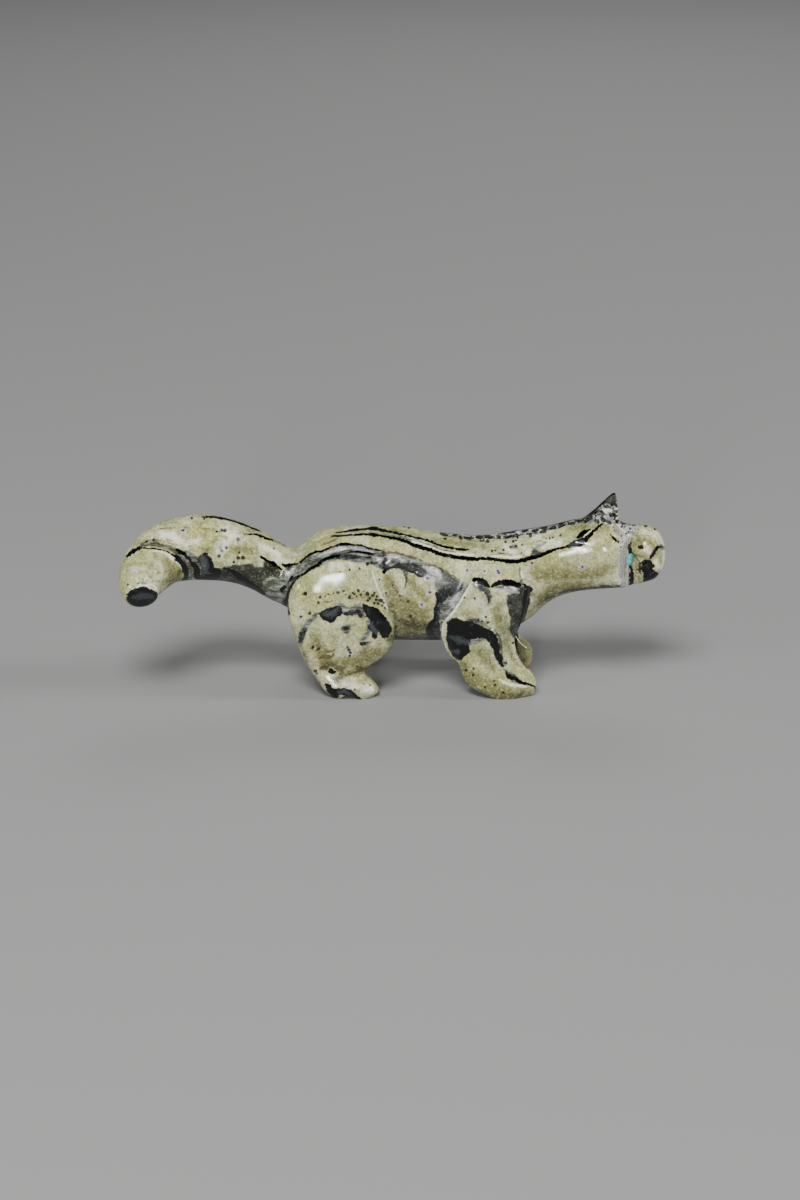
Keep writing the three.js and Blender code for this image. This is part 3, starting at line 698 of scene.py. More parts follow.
# Dark stone; the throat shade, belly rim, haunch rim shade and root shade lines are painted shade.
DARK_LINES = {
    "back line smudge": [(531, 555, 1), (535, 552.5, 2.5), (540, 552.5, 1.5)],
    "band heart shade": [
        (336, 557.5, 2), (343, 557, 3), (352, 556.5, 3), (362, 556.5, 1.2), (370, 557.5, 1),
    ],
    "band knot": [(383, 553, 2), (385, 558, 2.2), (384, 564, 3), (388, 566, 2)],
    "band tail part": [(405, 564, 1.8), (411, 566, 3), (418, 568, 2.2), (424, 572, 2.4)],
    "band drip": [(406, 568, 3), (405.5, 575, 1.7), (406, 582, 1.3), (405, 588, 0.5)],
    "root shade": [(286, 600, 2.5), (284, 607, 4)],
    "haunch gap": [(345.5, 614, 2.2), (358, 612, 3), (360, 616, 2)],
    "haunch eye": [(346, 629, 2.6)],
    "haunch low spot": [(361, 644, 1.2), (365, 643, 1)],
    "leg seam": [(480, 588, 2), (484, 591, 2), (487, 594, 1.6), (488.5, 599, 1.6), (489, 602, 1)],
    "paw line body": [(508, 676, 2.4), (514, 679.5, 2.6), (520, 682, 1.5)],
    "muzzle corner": [(658, 547, 1.5), (661, 546.5, 1.5)],
    "muzzle smudge": [(637, 559, 0.6), (640, 563, 1.8), (639.4, 568.5, 1.8), (641, 574, 0.8)],
    "throat shade": [
        (546, 600, 0.6), (560, 592.5, 1.1), (575, 590, 1.5), (590, 588.8, 1.7), (605, 587.6, 1.8),
        (618, 587, 1.6), (629, 586, 1),
    ],
    "belly rim shade": [(394, 638, 0.8), (404, 639, 1.6), (416, 640, 2.2), (426, 640, 2.4)],
    "band middle": [(381, 566, 2), (387, 568.5, 2.4), (394, 566.5, 1.6), (401, 565, 2.2), (408, 564, 3)],
    "band side": [(402, 569, 1.4), (410, 569, 2), (418, 571, 2.4), (425, 574, 1.8)],
    "band lower end": [(444, 577, 2), (452, 580, 3), (459, 584, 3)],
    "haunch rim shade": [(306, 629, 1.4), (303, 634, 2.4), (300, 641, 1.8)],
}
DARK_AREAS = {
    "tail underside": [
        (199, 553), (206, 554), (211, 558), (213, 564), (216, 567.5), (222, 567.5), (230, 565.5),
        (240, 564.5), (252, 563), (256, 567), (262, 567), (264, 561), (270, 563), (276, 566), (283, 573),
        (281, 580), (272, 577), (262, 582), (264, 592), (262, 597), (240, 588), (214, 583), (199, 583),
        (201, 570), (197, 560),
    ],
    # Partly the stone's dark, partly painted shade on the leg's front face and in the gap before the far
    # paw.
    "shoulder front": [
        (506.5, 594.5), (519, 593), (521, 586), (527, 585), (531, 592), (529, 606), (525, 619), (521, 634),
        (519.5, 648), (522, 658), (529, 668), (526, 668), (519, 660), (516, 650), (513.5, 638),
        (509.5, 630), (509, 618), (507, 606),
    ],
    # Partly the stone's dark, partly painted shade low on the flank behind the front leg.
    "flank dark": [
        (437, 590), (446, 584), (455, 579.5), (464, 584.5), (459, 592), (448, 598), (441, 606), (439, 620),
        (441, 644), (425, 644), (430, 626), (436, 612), (437, 600),
    ],
    "far ear": [
        (596, 507.5), (602, 500), (607, 495), (612, 491), (622, 491), (622, 512), (617, 510), (612, 506),
        (607, 505), (601, 508),
    ],
}
GREY_LINES = {
    "tail ring": [
        (136, 548.5, 0.7), (144, 544.5, 2.2), (152, 544, 3.2), (160, 545, 3), (168, 547.5, 2.2),
        (175, 551, 2.4), (182, 558, 3.6), (188, 566, 4), (190, 574, 4), (188, 580, 3),
    ],
    "tail streak side": [(186, 552, 2), (192, 557, 3.5), (199, 563, 3)],
    "between the back lines": [
        (384, 534, 1.2), (400, 536.8, 1.6), (414, 541, 1.7), (428, 545.5, 1.7), (442, 550, 1.6),
        (456, 553.2, 1),
    ],
    "haunch rim": [(318, 613, 2), (311, 620, 2.2), (305, 628, 3.2), (302, 636, 3.2), (300, 644, 2)],
    "haunch gap": [(340, 604.5, 2.4), (346, 611, 4.5), (353, 611, 5), (359, 609, 5), (362, 615, 3)],
    "haunch eye": [(346, 629, 5)],
    "haunch low": [(369, 622, 2), (369, 629, 3), (366, 636, 2.4), (361, 643, 2.4), (370, 642, 1.6)],
    "arch shine": [(465, 643, 1.5), (472, 642, 3), (480, 639.5, 2.6), (485, 637, 2)],
    "arch cap": [(468, 620, 1.5), (475, 620.5, 2.6), (482, 623, 2.2), (489, 628, 1.4)],
    "arch outside": [(494, 630, 1), (499, 637, 1.8), (500.5, 646, 1.8), (499.5, 655, 3), (505, 664, 2)],
    "paw line": [(504, 669, 1), (511, 676, 3), (519, 681, 2.6)],
    "leg top": [(474, 585, 2.4), (481, 587, 3.5), (487, 591, 3), (490, 598, 2.6), (489, 604, 1.4)],
    "leg light": [(495, 587, 1.6), (505, 588, 3), (513, 589.5, 3.8), (519, 588.5, 3)],
    "shoulder seam": [(520.5, 576, 1), (521.5, 583, 2), (519, 587, 1.5)],
    "neck wedge": [(580, 538, 1.5), (584, 536, 2)],
    "muzzle corner": [(659, 546, 2.6), (662, 548, 2)],
    "streaks above the back line": [
        (491, 555, 0.6), (498, 553.6, 0.9), (505, 553.8, 0.8), (512, 555.5, 0.5),
    ],
    "slanting streaks": [(534, 549, 0.9), (540, 546, 1.2), (546, 542, 0.8)],
    "ringed shade": [(512, 547, 2.2), (516, 547, 2.2)],
    "heel ring": [(338, 699, 1), (340, 694.5, 1.2), (346, 693, 1.2), (351, 696, 1)],
    "arch corner": [(452, 633, 1.2), (456, 637, 1.2)],
    "tail scar top": [(222, 530.3, 2.4)],
    "tail scar middle": [(238, 539.7, 2)],
    "tail scar low": [(220, 548, 1.6), (222, 551, 1.4)],
}
GREY_AREAS = {
    "band": [
        (282, 573), (287, 565.5), (300, 563.5), (306, 557.5), (313, 553), (322, 551.3), (331, 547),
        (342, 544), (354, 544.5), (366, 546.5), (378, 550.5), (390, 552), (400, 553.5), (410, 556),
        (420, 560), (431, 565), (442, 569), (450, 574), (458, 578.5), (466, 584), (472, 582), (464, 595),
        (455, 609), (447, 620), (442, 627), (441, 640), (430, 640), (432, 622), (435, 612), (435.5, 600),
        (436, 590), (434, 582), (430, 576), (424, 577), (417, 574.5), (410, 571.5), (402, 568), (393, 568),
        (385, 572.5), (378, 567), (368, 564), (357, 562.5), (345, 561), (334, 560), (324, 563.5),
        (314, 569.5), (304, 574.5), (298, 579.5), (292, 587), (288, 597), (287, 612), (280, 606),
        (262, 594), (264, 582), (274, 577), (281, 580),
    ],
}
# White veins, and painted highlights: along the haunch's and the front leg's edges, on the neck, behind the
# ear, on the muzzle's front and lip and on the toes.
WHITE_AND_HIGHLIGHT_LINES = {
    "ring inner edge": [
        (152, 550.5, 1.4), (160, 551.5, 1), (167, 554, 1.2), (172, 558, 2), (178, 562.5, 1.3),
        (182, 568, 0.8),
    ],
    "tip rim": [(131, 591.5, 0.8), (137, 588, 1.6), (145, 585.5, 1.2), (153, 584.5, 1), (156.5, 590, 0.8)],
    "between back lines": [
        (412, 541.3, 0.7), (419, 543.2, 1), (427, 546, 0.9), (446, 552.5, 0.8), (460, 554, 0.9),
        (474, 555.5, 0.8),
    ],
    "over the back line": [(492, 556.3, 0.7), (500, 556.2, 1), (510, 557.5, 1), (520, 556.5, 1.5)],
    "neck root": [(521, 572, 1.2), (523, 577, 1.4)],
    "wedge line": [(583.5, 536.5, 0.5), (588, 533, 0.7), (593, 529.5, 0.5)],
    # painted highlight on the neck
    "neck highlight": [(582, 553, 1.5), (588, 551, 1.8), (592, 549, 0.9)],
    "throat streaks": [(612, 580, 0.7), (617, 580.5, 0.8), (622, 578.5, 0.8), (619, 584, 0.6)],
    # painted highlight behind the ear
    "crown highlight": [(594, 516.5, 1.4), (597, 518, 1.8), (591.5, 513.5, 0.8)],
    "ear foot": [(613, 523.8, 0.6), (618, 525, 1.2), (620.5, 528, 0.8)],
    "temple streaks": [(620, 527, 0.5), (624, 531, 0.6), (628, 535, 0.7), (633, 536.5, 0.6)],
    # painted highlights on the muzzle's front and lip
    "muzzle front": [(654, 531, 1.2), (658.5, 534, 2), (662, 539, 2.2), (664, 544, 1.6)],
    "muzzle lip": [(664, 551, 1), (664, 558, 1.6), (663.5, 565, 1.8), (662, 570, 1.4)],
    # painted highlight on the toes
    "toe shine": [
        (499.5, 679.5, 0.7), (503, 682, 1.6), (509, 684, 1.7), (517, 685.6, 1.2), (526, 686.5, 0.9),
    ],
    "arch top halo": [(459, 617.5, 0.8), (464, 618.5, 0.8)],
    # painted highlights along the haunch's and the front leg's edges
    "haunch edge highlight": [
        (372.5, 571, 0.4), (374, 578, 0.7), (377, 586, 0.8), (380, 593, 0.8), (383, 600, 0.7),
        (387, 608, 0.4),
    ],
    "leg edge highlight": [
        (473, 580, 0.5), (468.5, 587.5, 0.7), (462.5, 597, 0.6), (457, 605.5, 0.5), (452, 613, 0.5),
        (447.5, 618.5, 0.5), (443.8, 622.5, 0.4), (442.6, 630, 0.3), (443.8, 640, 0.3), (447.5, 651, 0.2),
    ],
}
# White crystals in the grey band and at the tops of the legs: short strokes and dots.
CRYSTALS = [
    [(377, 560.5, 0.7), (379.5, 559.5, 0.8)], [(387, 562.8, 0.7), (389.5, 561, 1.1)],
    [(415.5, 572.7, 0.9), (417.5, 572, 0.8)], [(429, 568, 0.5), (431.5, 567, 0.8)],
    [(436.4, 570.4, 1), (437.6, 572.6, 0.8)], [(395, 558, 0.9), (398, 556.6, 0.6)],
    [(424.6, 579, 0.8), (428, 580, 1)], [(340, 549.6, 0.5), (346, 549, 0.6)],
    [(402, 561, 0.6), (404, 559.6, 0.5)], [(287.4, 573.6, 1.1), (289, 572, 0.8)],
    [(294, 568.5, 0.7), (291.5, 570, 0.6)], [(511, 587.6, 1.2), (515, 588.6, 1.5)], [(476.5, 585, 1.1)],
    [(505, 587.5, 0.8)],
]
# White clouds in the olive stone; those on the tail's top and root, the neck's side, the brow, the haunch's
# top and the hind foot are partly painted highlights.
CLOUD_AND_HIGHLIGHT_LINES = {
    "tail high": [(163, 535, 3), (172, 536, 3.5), (179, 541, 3), (184, 545.5, 3.2), (190, 543, 2)],
    "tail middle": [(192, 542, 2), (198, 541, 3)],
    "tail scars": [(223, 529.5, 4.5), (238, 539, 6), (232, 537, 3.5), (220, 549, 5), (222, 541, 3)],
    "tail root": [(264, 547, 3), (271, 551, 4), (279, 556, 4), (276, 561, 2.5), (284, 561, 2)],
    "shoulder cloud": [(507, 549, 2.5), (513, 549, 4), (519, 546, 2), (525, 549, 2), (528, 553, 2)],
    "neck cloud": [(543, 545, 2.5), (552, 544, 3), (560, 543, 2), (536, 538, 2.5)],
    "spine crumbs": [(529, 531, 1.2), (536, 531.5, 2), (468, 534.5, 1)],
    "neck side": [(580, 551, 3.5), (587, 547, 3.5), (592, 542, 2)],
    "brow": [(636, 529, 1.6), (642, 531.5, 2.6), (650, 532, 3.2), (656, 535, 2.2)],
    "muzzle side": [(656, 562, 1.6), (658, 567, 1.8)],
    "muzzle cloud": [(645, 548.5, 2.2), (649, 550, 3), (649, 553, 1.8)],
    "hind foot": [(346, 684.5, 1.6), (354, 686, 2), (364, 689.5, 2.6), (371, 690, 2.4)],
    "haunch shoulder": [(330, 566, 3), (341, 565, 3), (350, 563.5, 2)],
}
# Soft pale discs, most of them about a small dark spot: (across, down, radius).
HALOS = [
    (427.5, 578.8, 4), (430, 591.5, 4.6), (422, 604.5, 3.8), (498.3, 571.8, 4), (467.3, 570.5, 3.4),
    (484.5, 571, 3), (349.5, 652, 4.6), (582, 567, 4.2), (481.5, 603.5, 3), (183, 530, 2.4),
    (536.5, 538, 3.4), (134.5, 570, 4.5), (492, 656, 2), (226.5, 547.5, 2.6), (432, 579, 3), (193, 566, 2),
]
# Small dark spots: (across, down, radius).
SPOTS = [
    (183, 530.2, 1.2), (192, 518.3, 1), (204.5, 518.6, 0.9), (216.5, 531.4, 0.9), (225, 530.6, 1.7),
    (222, 530, 1.1), (226.3, 547.8, 1.3), (219, 556, 1.4), (238.5, 558, 1.7), (243, 557.7, 1.6),
    (233.8, 562.2, 1.3), (239, 552.8, 0.8), (138.3, 583.6, 0.8), (142.3, 582.8, 0.7), (145, 583.4, 0.9),
    (127.8, 584.5, 1), (153, 581.5, 0.7), (175.6, 559.6, 1.5), (146.5, 541.3, 0.9), (153.5, 539.8, 1.1),
    (367.5, 564, 1.5), (274, 548.5, 0.8), (367.3, 593.6, 1.9), (372.7, 595.5, 1.4), (358.2, 590.5, 1.3),
    (353, 593, 1.1), (356, 596, 1), (349.5, 598, 1.4), (343.6, 591.3, 1.1), (338, 592.3, 1.4),
    (320.3, 597.2, 1.1), (325.3, 596.2, 0.9), (318.6, 602.4, 1.2), (376.5, 599.5, 1.4), (377, 596.5, 1.1),
    (381.5, 600.5, 1.7), (378, 603.5, 1.1), (382, 605.5, 1), (367.5, 600.5, 1), (309.5, 613.3, 1.4),
    (301, 616.5, 1.1), (305.3, 593.8, 1.6), (345.8, 613.8, 1.5), (358, 611, 1.7), (360.5, 615.5, 1.6),
    (346, 628.6, 1.5), (301, 633.2, 1.2), (347.6, 647.6, 0.9), (348.8, 650, 1.4), (350.3, 652.6, 1.2),
    (349.8, 656, 0.9), (361.6, 643.8, 0.8), (364.8, 643, 0.7), (313, 647.5, 1.1), (319, 648.5, 1),
    (317, 650.2, 0.7), (332.2, 672, 2.2), (330.5, 669.5, 1), (335, 671.5, 1), (315.5, 671, 1.5),
    (316.8, 673.3, 1), (370, 685.5, 0.8), (355, 689.5, 0.7), (427.8, 578.4, 1.2), (430, 592.2, 0.9),
    (421.5, 604.7, 0.9), (467.2, 570.3, 0.8), (484.6, 571, 0.6), (497.6, 570.8, 0.9), (498.8, 572.8, 0.8),
    (532, 563.2, 1.1), (530.3, 535.6, 1.3), (549.7, 538.4, 1), (552.7, 537.7, 0.8), (546.3, 538.9, 0.6),
    (560.3, 535.4, 1), (492, 551.2, 1.1), (495, 550.6, 0.7), (503.6, 550.2, 1), (505.4, 541.8, 1),
    (488.3, 541.7, 1), (483.5, 540, 0.9), (481, 539.6, 0.7), (513.3, 541.4, 1.1), (516, 540.2, 0.7),
    (522, 545, 0.8), (521.7, 553, 0.8), (510.3, 546.6, 0.8), (515.8, 546, 0.8), (582.3, 567, 0.8),
    (486, 617.2, 1.1), (487.7, 622.4, 1.2), (490.3, 628.6, 0.7), (478.5, 619.5, 1), (482.3, 621.3, 0.8),
    (488.8, 599, 1), (485.3, 593.2, 0.9), (489, 602, 0.7), (464, 597.8, 1), (474.5, 598.5, 0.8),
    (513, 643, 0.9), (506.3, 663, 0.9), (466, 670, 1.3), (473.4, 675, 1.1), (495.4, 685.2, 1),
    (503.4, 692.6, 1.2), (485, 687.4, 0.9), (494, 681, 0.7), (473.5, 668.5, 1.1), (510, 603, 0.8),
    (613.8, 527.3, 0.8), (614.2, 530.3, 0.6), (638.4, 529.2, 0.7), (622.5, 524.3, 0.9), (628.5, 532, 0.7),
    (624.5, 527, 0.6), (645.7, 525.8, 1.5), (650, 525.2, 0.8), (655, 529, 1), (635, 524.4, 0.9),
    (639, 524, 0.9), (617, 511.2, 1.6), (613.4, 508, 1), (617, 521.3, 1.6), (604, 505.6, 1),
    (393, 585.5, 0.9), (386.5, 593, 0.9), (408, 601.5, 0.9), (411, 616.5, 1.1), (379.5, 579.5, 0.7),
    (400, 596, 0.7), (349.5, 569.7, 0.9), (359.6, 568.6, 0.7), (340, 572, 0.6), (404, 526.6, 0.6),
    (409, 528, 0.6), (620.5, 547, 0.5), (350, 596.6, 1.3), (354.5, 594.2, 1.2), (352, 598.5, 0.8),
    (361, 594.6, 0.9), (364, 591, 0.7), (369.5, 598.4, 1), (374.5, 592.8, 1), (379.5, 600.2, 1.2),
    (374, 603.2, 0.9), (383.5, 602.8, 1), (385, 608, 0.8), (345.5, 594.6, 0.8), (328.8, 594.4, 0.8),
    (333.5, 593, 0.7), (622, 526.5, 1.1), (630, 528.5, 1), (626.5, 533.5, 0.8), (633, 525, 0.9),
    (621.5, 536, 0.7), (487.5, 541, 1.5), (530.3, 536, 0.9), (371.5, 563, 0.9),
]
# Fine brown veins.
BROWN_LINES = {
    "tail line": [
        (157, 529.2, 0.3), (165, 528.4, 0.5), (173, 528, 0.5), (181, 527.6, 0.25), (190, 527.9, 0.45),
        (198, 528.5, 0.25), (206, 528.6, 0.5), (212, 529.2, 0.35), (216, 531.2, 0.8), (222, 532.2, 0.5),
        (230, 532, 0.3), (237, 532.9, 0.5), (245, 534.3, 0.6), (252, 534.6, 0.5),
    ],
    "tail line end": [(272, 540.2, 0.5), (279, 543, 0.6), (286, 546.5, 0.35)],
    "ring upper": [
        (139, 545.5, 0.4), (144, 542.6, 0.7), (149, 540.5, 0.9), (155, 539.8, 0.9), (162, 541.3, 0.3),
        (170, 543, 0.3), (177, 544.5, 0.3),
    ],
    "ring middle": [
        (137, 548.6, 0.3), (143, 545.6, 0.6), (150, 544.9, 0.5), (157, 545.6, 0.8), (165, 546.2, 0.7),
        (171, 546.6, 0.3),
    ],
    "ring outside": [
        (170, 548.2, 0.4), (177, 552.5, 0.6), (184, 559, 0.6), (190, 567, 0.6), (192, 575, 0.7),
    ],
    "band fold": [(321, 545.6, 0.3), (327, 542.6, 0.9), (334, 540.4, 0.5), (338, 538.8, 0.3)],
    "band rim": [
        (384, 552, 0.8), (391, 552.3, 0.9), (398, 553.8, 1), (405, 555, 0.9), (410, 556.6, 0.8),
        (416, 558.2, 0.6), (423, 561.3, 0.7), (430, 564.6, 0.6), (437, 566.6, 0.8), (443, 569.3, 0.9),
        (449, 573.6, 1), (455, 577, 1), (461, 581.5, 1),
    ],
    "haunch scratches": [(323, 601.5, 0.5), (328, 602.2, 0.9), (333, 600, 0.5)],
    "foot crease": [
        (331, 680.8, 0.7), (337, 679.6, 0.9), (343, 676.5, 1.1), (349, 674.4, 0.8), (357, 672, 0.9),
        (362, 669.5, 0.5),
    ],
    "haunch rust": [(303.5, 594.6, 0.9), (306.5, 592, 1)],
    "shoulder crack": [(519.6, 567, 0.4), (519.9, 571, 0.6), (519.3, 575, 0.4)],
    "neck streak": [(535, 542.2, 0.3), (539, 540.8, 0.5), (543, 540, 0.3)],
    "temple": [(632, 532.2, 0.5), (636, 533.6, 0.5)],
    "paw patch": [(489.5, 660, 1.2), (490.5, 663, 0.8)],
}
# Brown blotches low on the haunch and the flank.
BLOTCHES = [
    [(320.5, 657.6, 1.6), (325, 656, 2.2), (330, 657, 2.2), (334, 654, 1.4)],
    [(326, 652.5, 1.2), (334, 650.5, 1.3)], [(321, 668.5, 1.6), (327, 668, 1.6)],
    [(336, 668.3, 1.6), (341.5, 672, 2.2), (339, 677, 1.6)], [(357, 667, 1.6), (363, 668.4, 1.2)],
    [(409, 616, 2), (413, 619, 1.2)], [(393, 583, 1.6)], [(397, 591, 1.4)], [(312, 648, 1.8)],
    [(318, 649, 1.6)],
]
# Where the stone is deeper olive, which low on the flank and haunch, on the belly, throat, shins and paws,
# in the hind crease and on the tail's far facet is also painted shade; where a dark brown paints shade; and
# where it is pink.
OLIVE_AND_SHADE_LINES = {
    "tail facet": [(168, 562, 4), (172, 570, 7), (172, 578, 6), (163, 584, 3)],
    "tail back": [(247, 528.5, 3), (254, 531, 2.5)],
    "tail side": [(205, 550, 2), (230, 549, 4), (246, 550, 5), (256, 552, 3)],
    "tail under patch": [(224, 573, 2.5), (230, 576, 3), (236, 579, 1.5)],
    "haunch low": [(346, 664, 5), (364, 657, 8), (378, 651, 6)],
    "haunch dots": [(349, 596, 2.6), (358, 595.5, 3.2), (368, 598, 3.6), (378, 602, 3)],
    "shin": [(505, 618, 3), (505, 632, 3.6), (507, 646, 3.4), (511, 658, 2.6)],
    "haunch belly": [(316, 640, 5), (325, 662, 6), (335, 664, 5)],
    "flank": [(390, 580, 6), (396, 600, 9), (410, 610, 12), (422, 618, 9), (405, 626, 9)],
    "flank top": [(412, 582, 4), (424, 597, 4)],
    "shoulder": [(498, 610, 6), (500, 624, 6), (505, 636, 4)],
    "forearm": [(480, 652, 5), (486, 660, 6), (492, 668, 4)],
    "paw": [(463, 666, 5), (473, 679, 9), (488, 687, 10), (508, 693, 5), (524, 692, 4)],
    "neck low": [(535, 572, 5), (552, 575, 8), (575, 574, 7), (600, 572, 6), (612, 566, 4)],
    "throat": [(540, 598, 5), (560, 588, 6), (590, 584, 4)],
    "hind crease": [(334, 680, 2.5), (345, 675, 3.5), (358, 671, 3.5), (364, 668, 2)],
    "neck high": [(568, 528.5, 2), (580, 527, 2), (600, 528, 3), (606, 526, 2)],
    "muzzle band": [(636, 541, 2), (643, 541, 2.6), (651, 542, 3), (656, 540, 2)],
    "muzzle foot": [(637, 574, 2.5), (639, 579, 2.5), (636, 566, 1)],
    "upper back": [(358, 532, 1.8), (400, 531, 1.5), (440, 541, 2), (476, 545, 4), (486, 547, 2)],
    "belly": [(390, 632, 4), (405, 634, 6), (424, 636, 5)],
    "flank middle": [(388, 600, 3), (398, 618, 5), (418, 628, 6)],
}
# Dark brown painted shade: under the belly, throat and chest, low on the flank and haunch, in the creases
# at the haunch, knee and foot, under the paws, at the neck's back and the muzzle's side, and on the tail's
# far facet.
PAINTED_SHADE_LINES = {
    "belly": [(388, 640, 3), (400, 640, 6), (414, 640, 8.5), (430, 640, 10)],
    "flank low": [(396, 620, 1.6), (412, 625, 4.5), (428, 628, 5.5)],
    "haunch crease": [(389, 596, 0.6), (393, 608, 1.4), (395.5, 620, 2), (396, 632, 2)],
    "haunch knee": [(392, 646, 1), (386, 655, 1.8), (376, 663, 1.6), (366, 669, 1.6)],
    "foot": [(331, 679, 1.4), (340, 677, 2), (350, 673.5, 1.8), (362, 669, 1.6)],
    "haunch back": [(301, 640, 0.8), (304, 656, 1), (310, 670, 1.6), (319, 683, 2)],
    "haunch low": [(322, 668, 1), (330, 664, 2), (342, 668, 2)],
    "throat": [(528, 612, 1), (540, 603, 1.8), (556, 594, 2), (580, 589, 2), (610, 587, 1.6)],
    "chest": [(531, 590, 1), (536, 598, 2)],
    "paw sole": [
        (460, 672, 1), (466, 684, 2.4), (476, 693, 4), (492, 698, 4.6), (512, 698, 4), (530, 696, 2.6),
    ],
    "shin edge": [(508, 645, 0.6), (512, 655, 1.2), (519, 665, 0.8)],
    "tail facet": [(180, 572, 1.4), (178, 579, 1.6), (168, 585, 1.2)],
    "neck back": [(536, 578, 1), (546, 578, 1.4)],
    "far paw": [(521, 652, 1), (524, 660, 2), (520, 664, 2)],
    "muzzle side": [(633.5, 548, 0.8), (635, 557, 1.6), (637.5, 564, 2.4), (638.5, 570, 1.6)],
}
PINK_LINES = {
    "ear foot": [(612, 527, 1.5), (615, 531, 3.2), (616.5, 537, 2)],
    "tail side": [(170, 533, 2), (186, 536, 3)],
    "hind foot": [(348, 678.5, 1.5), (355, 678, 2)],
    "shoulder": [(430, 562, 1.5), (434, 561.5, 1)],
    "neck": [(478, 549, 2), (484, 552, 1.5)],
    "knee": [(490, 661, 1.5), (497, 662, 1.2), (500, 668, 1)],
}
# The smooth grey cheeks.
CHEEK_AREAS = {
    "cheek": [
        (619, 523), (627, 521), (634, 524), (637, 529), (635, 534), (631, 538), (630.5, 545), (631, 566),
        (630.5, 590), (622, 590), (618.7, 580), (618.7, 560), (619.5, 543),
    ],
}
# Where the stone is a crumble of black, grey and white.
CRUMBLE_AREAS = {
    "spine": [
        (438, 525), (447, 530), (458, 527), (480, 524), (530, 520), (550, 516), (562, 514), (590, 509),
        (598, 507), (606, 503), (613, 504), (618, 508), (622, 511), (634, 514), (641, 522), (632, 526),
        (622, 524.5), (610, 523.5), (598, 523.5), (584, 523), (575, 524.5), (563, 526.5), (556, 528.5),
        (546, 531.5), (536, 534), (526, 534), (517, 539), (505, 539.5), (492, 538.5), (476, 539),
        (462, 538), (447, 537),
    ],
}
# The black chips along the spine, from the shoulder to the crown: short strokes.
SPINE_DASHES = [
    [(441, 533.2, 1.2), (444, 534.4, 1.7), (447, 535.6, 1)], [(443.5, 538.8, 0.7), (446, 538.8, 0.7)],
    [(453, 535, 0.9), (456, 534.8, 1.2)], [(459.5, 536.6, 0.8), (461.5, 538.6, 1)],
    [(465, 537.6, 1.2), (469, 538.6, 1.4), (473, 538.4, 0.8)], [(464, 534.2, 0.6), (468, 534.4, 0.7)],
    [(477, 537, 1), (481, 538, 1.2)], [(486, 536.2, 1.3), (489.5, 537.2, 1.8), (492, 537.4, 1)],
    [(480, 541, 0.7), (484, 540.6, 0.7)], [(497, 536.2, 1), (500, 536.8, 0.9)],
    [(504, 537.2, 0.8), (508, 537, 1.3), (511.5, 535.8, 1)],
    [(502, 533.2, 0.7), (508, 532.6, 0.8), (514, 531.8, 0.9)], [(517, 534, 0.8), (517.6, 538, 0.7)],
    [(523, 531.2, 1), (526.5, 530.4, 1)], [(527, 534, 0.7), (531, 534.2, 0.8)],
    [(533, 531, 1), (537, 530, 1.2)], [(541, 532, 1.2), (545, 531.6, 1.3)],
    [(542, 527.6, 0.7), (546, 527, 0.7)], [(551, 528.4, 1.2), (555, 527.6, 1.5)],
    [(559, 526.4, 1.5), (563.5, 525, 1.3)], [(554, 523.4, 0.9), (559, 522.8, 0.9)],
    [(569, 523.6, 1), (574, 522.8, 1.2)], [(578.5, 521.4, 1.1), (581, 520.8, 0.8)],
    [(585.5, 522, 1.1), (588, 519.4, 1.4), (591.5, 517.6, 1.3), (590, 515, 0.8)],
    [(595.5, 512.5, 1.2), (599, 511.3, 1.2), (603, 512.2, 0.9)],
    [(600.5, 517.4, 0.8), (603.5, 519, 1.2), (607, 521.3, 1.3), (610, 522.6, 0.9)],
    [(598.3, 520, 0.9), (598.5, 523, 0.9)], [(611, 516, 0.8), (614.5, 514.5, 0.9)],
    [(621, 522.5, 0.9), (625, 523.4, 0.7)],
]
# Pale smears on the grey.
FROST_LINES = {
    "band sky": [
        (318, 556.6, 0.5), (324, 554, 0.8), (331, 551.2, 1.2), (341, 549, 1.5), (352, 548.2, 1.4),
        (362, 549.4, 1.2), (372, 551.8, 0.9),
    ],
    "band heart": [(376, 557, 1.6), (382, 560.5, 2.6), (388, 558, 2.8), (396, 557, 2), (402, 560, 1.4)],
    "band side": [(424, 566, 1.2), (430, 570, 2.6), (436, 572, 3), (441, 577, 2)],
    "band foot": [(455, 588, 2), (457, 594, 2.4), (451, 604, 1.6)],
    "root": [(285, 571, 2), (289, 574, 2.4), (296, 569, 1.2)],
    "leg top": [(478, 588, 1.4), (484, 592, 1.4)],
    "leg light": [(497, 589.6, 1.4), (507, 590.6, 2.2), (515, 591, 1.6)],
    "haunch gap": [(344, 609.5, 1), (350, 611.5, 2), (356, 610, 1)],
}
# Grey-blue on the black: on the tail's end and in the front leg's arch it is painted reflection, elsewhere
# grey smears.
SHEEN_AND_SMEAR_LINES = {
    "tail dark": [(202, 556, 2), (204, 562, 3.6), (204.5, 569, 3.6), (203, 574, 2)],
    "tail end": [(133, 597.5, 1.2), (139, 596, 2.4), (147, 595.5, 2.4), (153, 597, 1)],
    "haunch left": [(322, 612.5, 1.2), (328, 614.5, 2.6), (334, 612, 2), (338, 608, 1)],
    "haunch right": [(371, 626, 1.2), (375, 631, 1.8), (378, 634, 1)],
    "arch": [(450, 637, 1), (456, 638.5, 2.6), (463, 641, 3), (469, 643, 2)],
    "arch low": [(452, 651, 1), (458, 652, 1.8)],
    "heel": [(339, 692.5, 1.2), (345, 692, 1.6), (351, 694.5, 1)],
    "back line": [(533, 554.5, 0.8), (538, 552.8, 1.4), (542, 552, 0.8)],
    "neck wedge": [(570, 544.6, 0.9), (576, 543.4, 2), (582, 541.6, 1.6)],
}

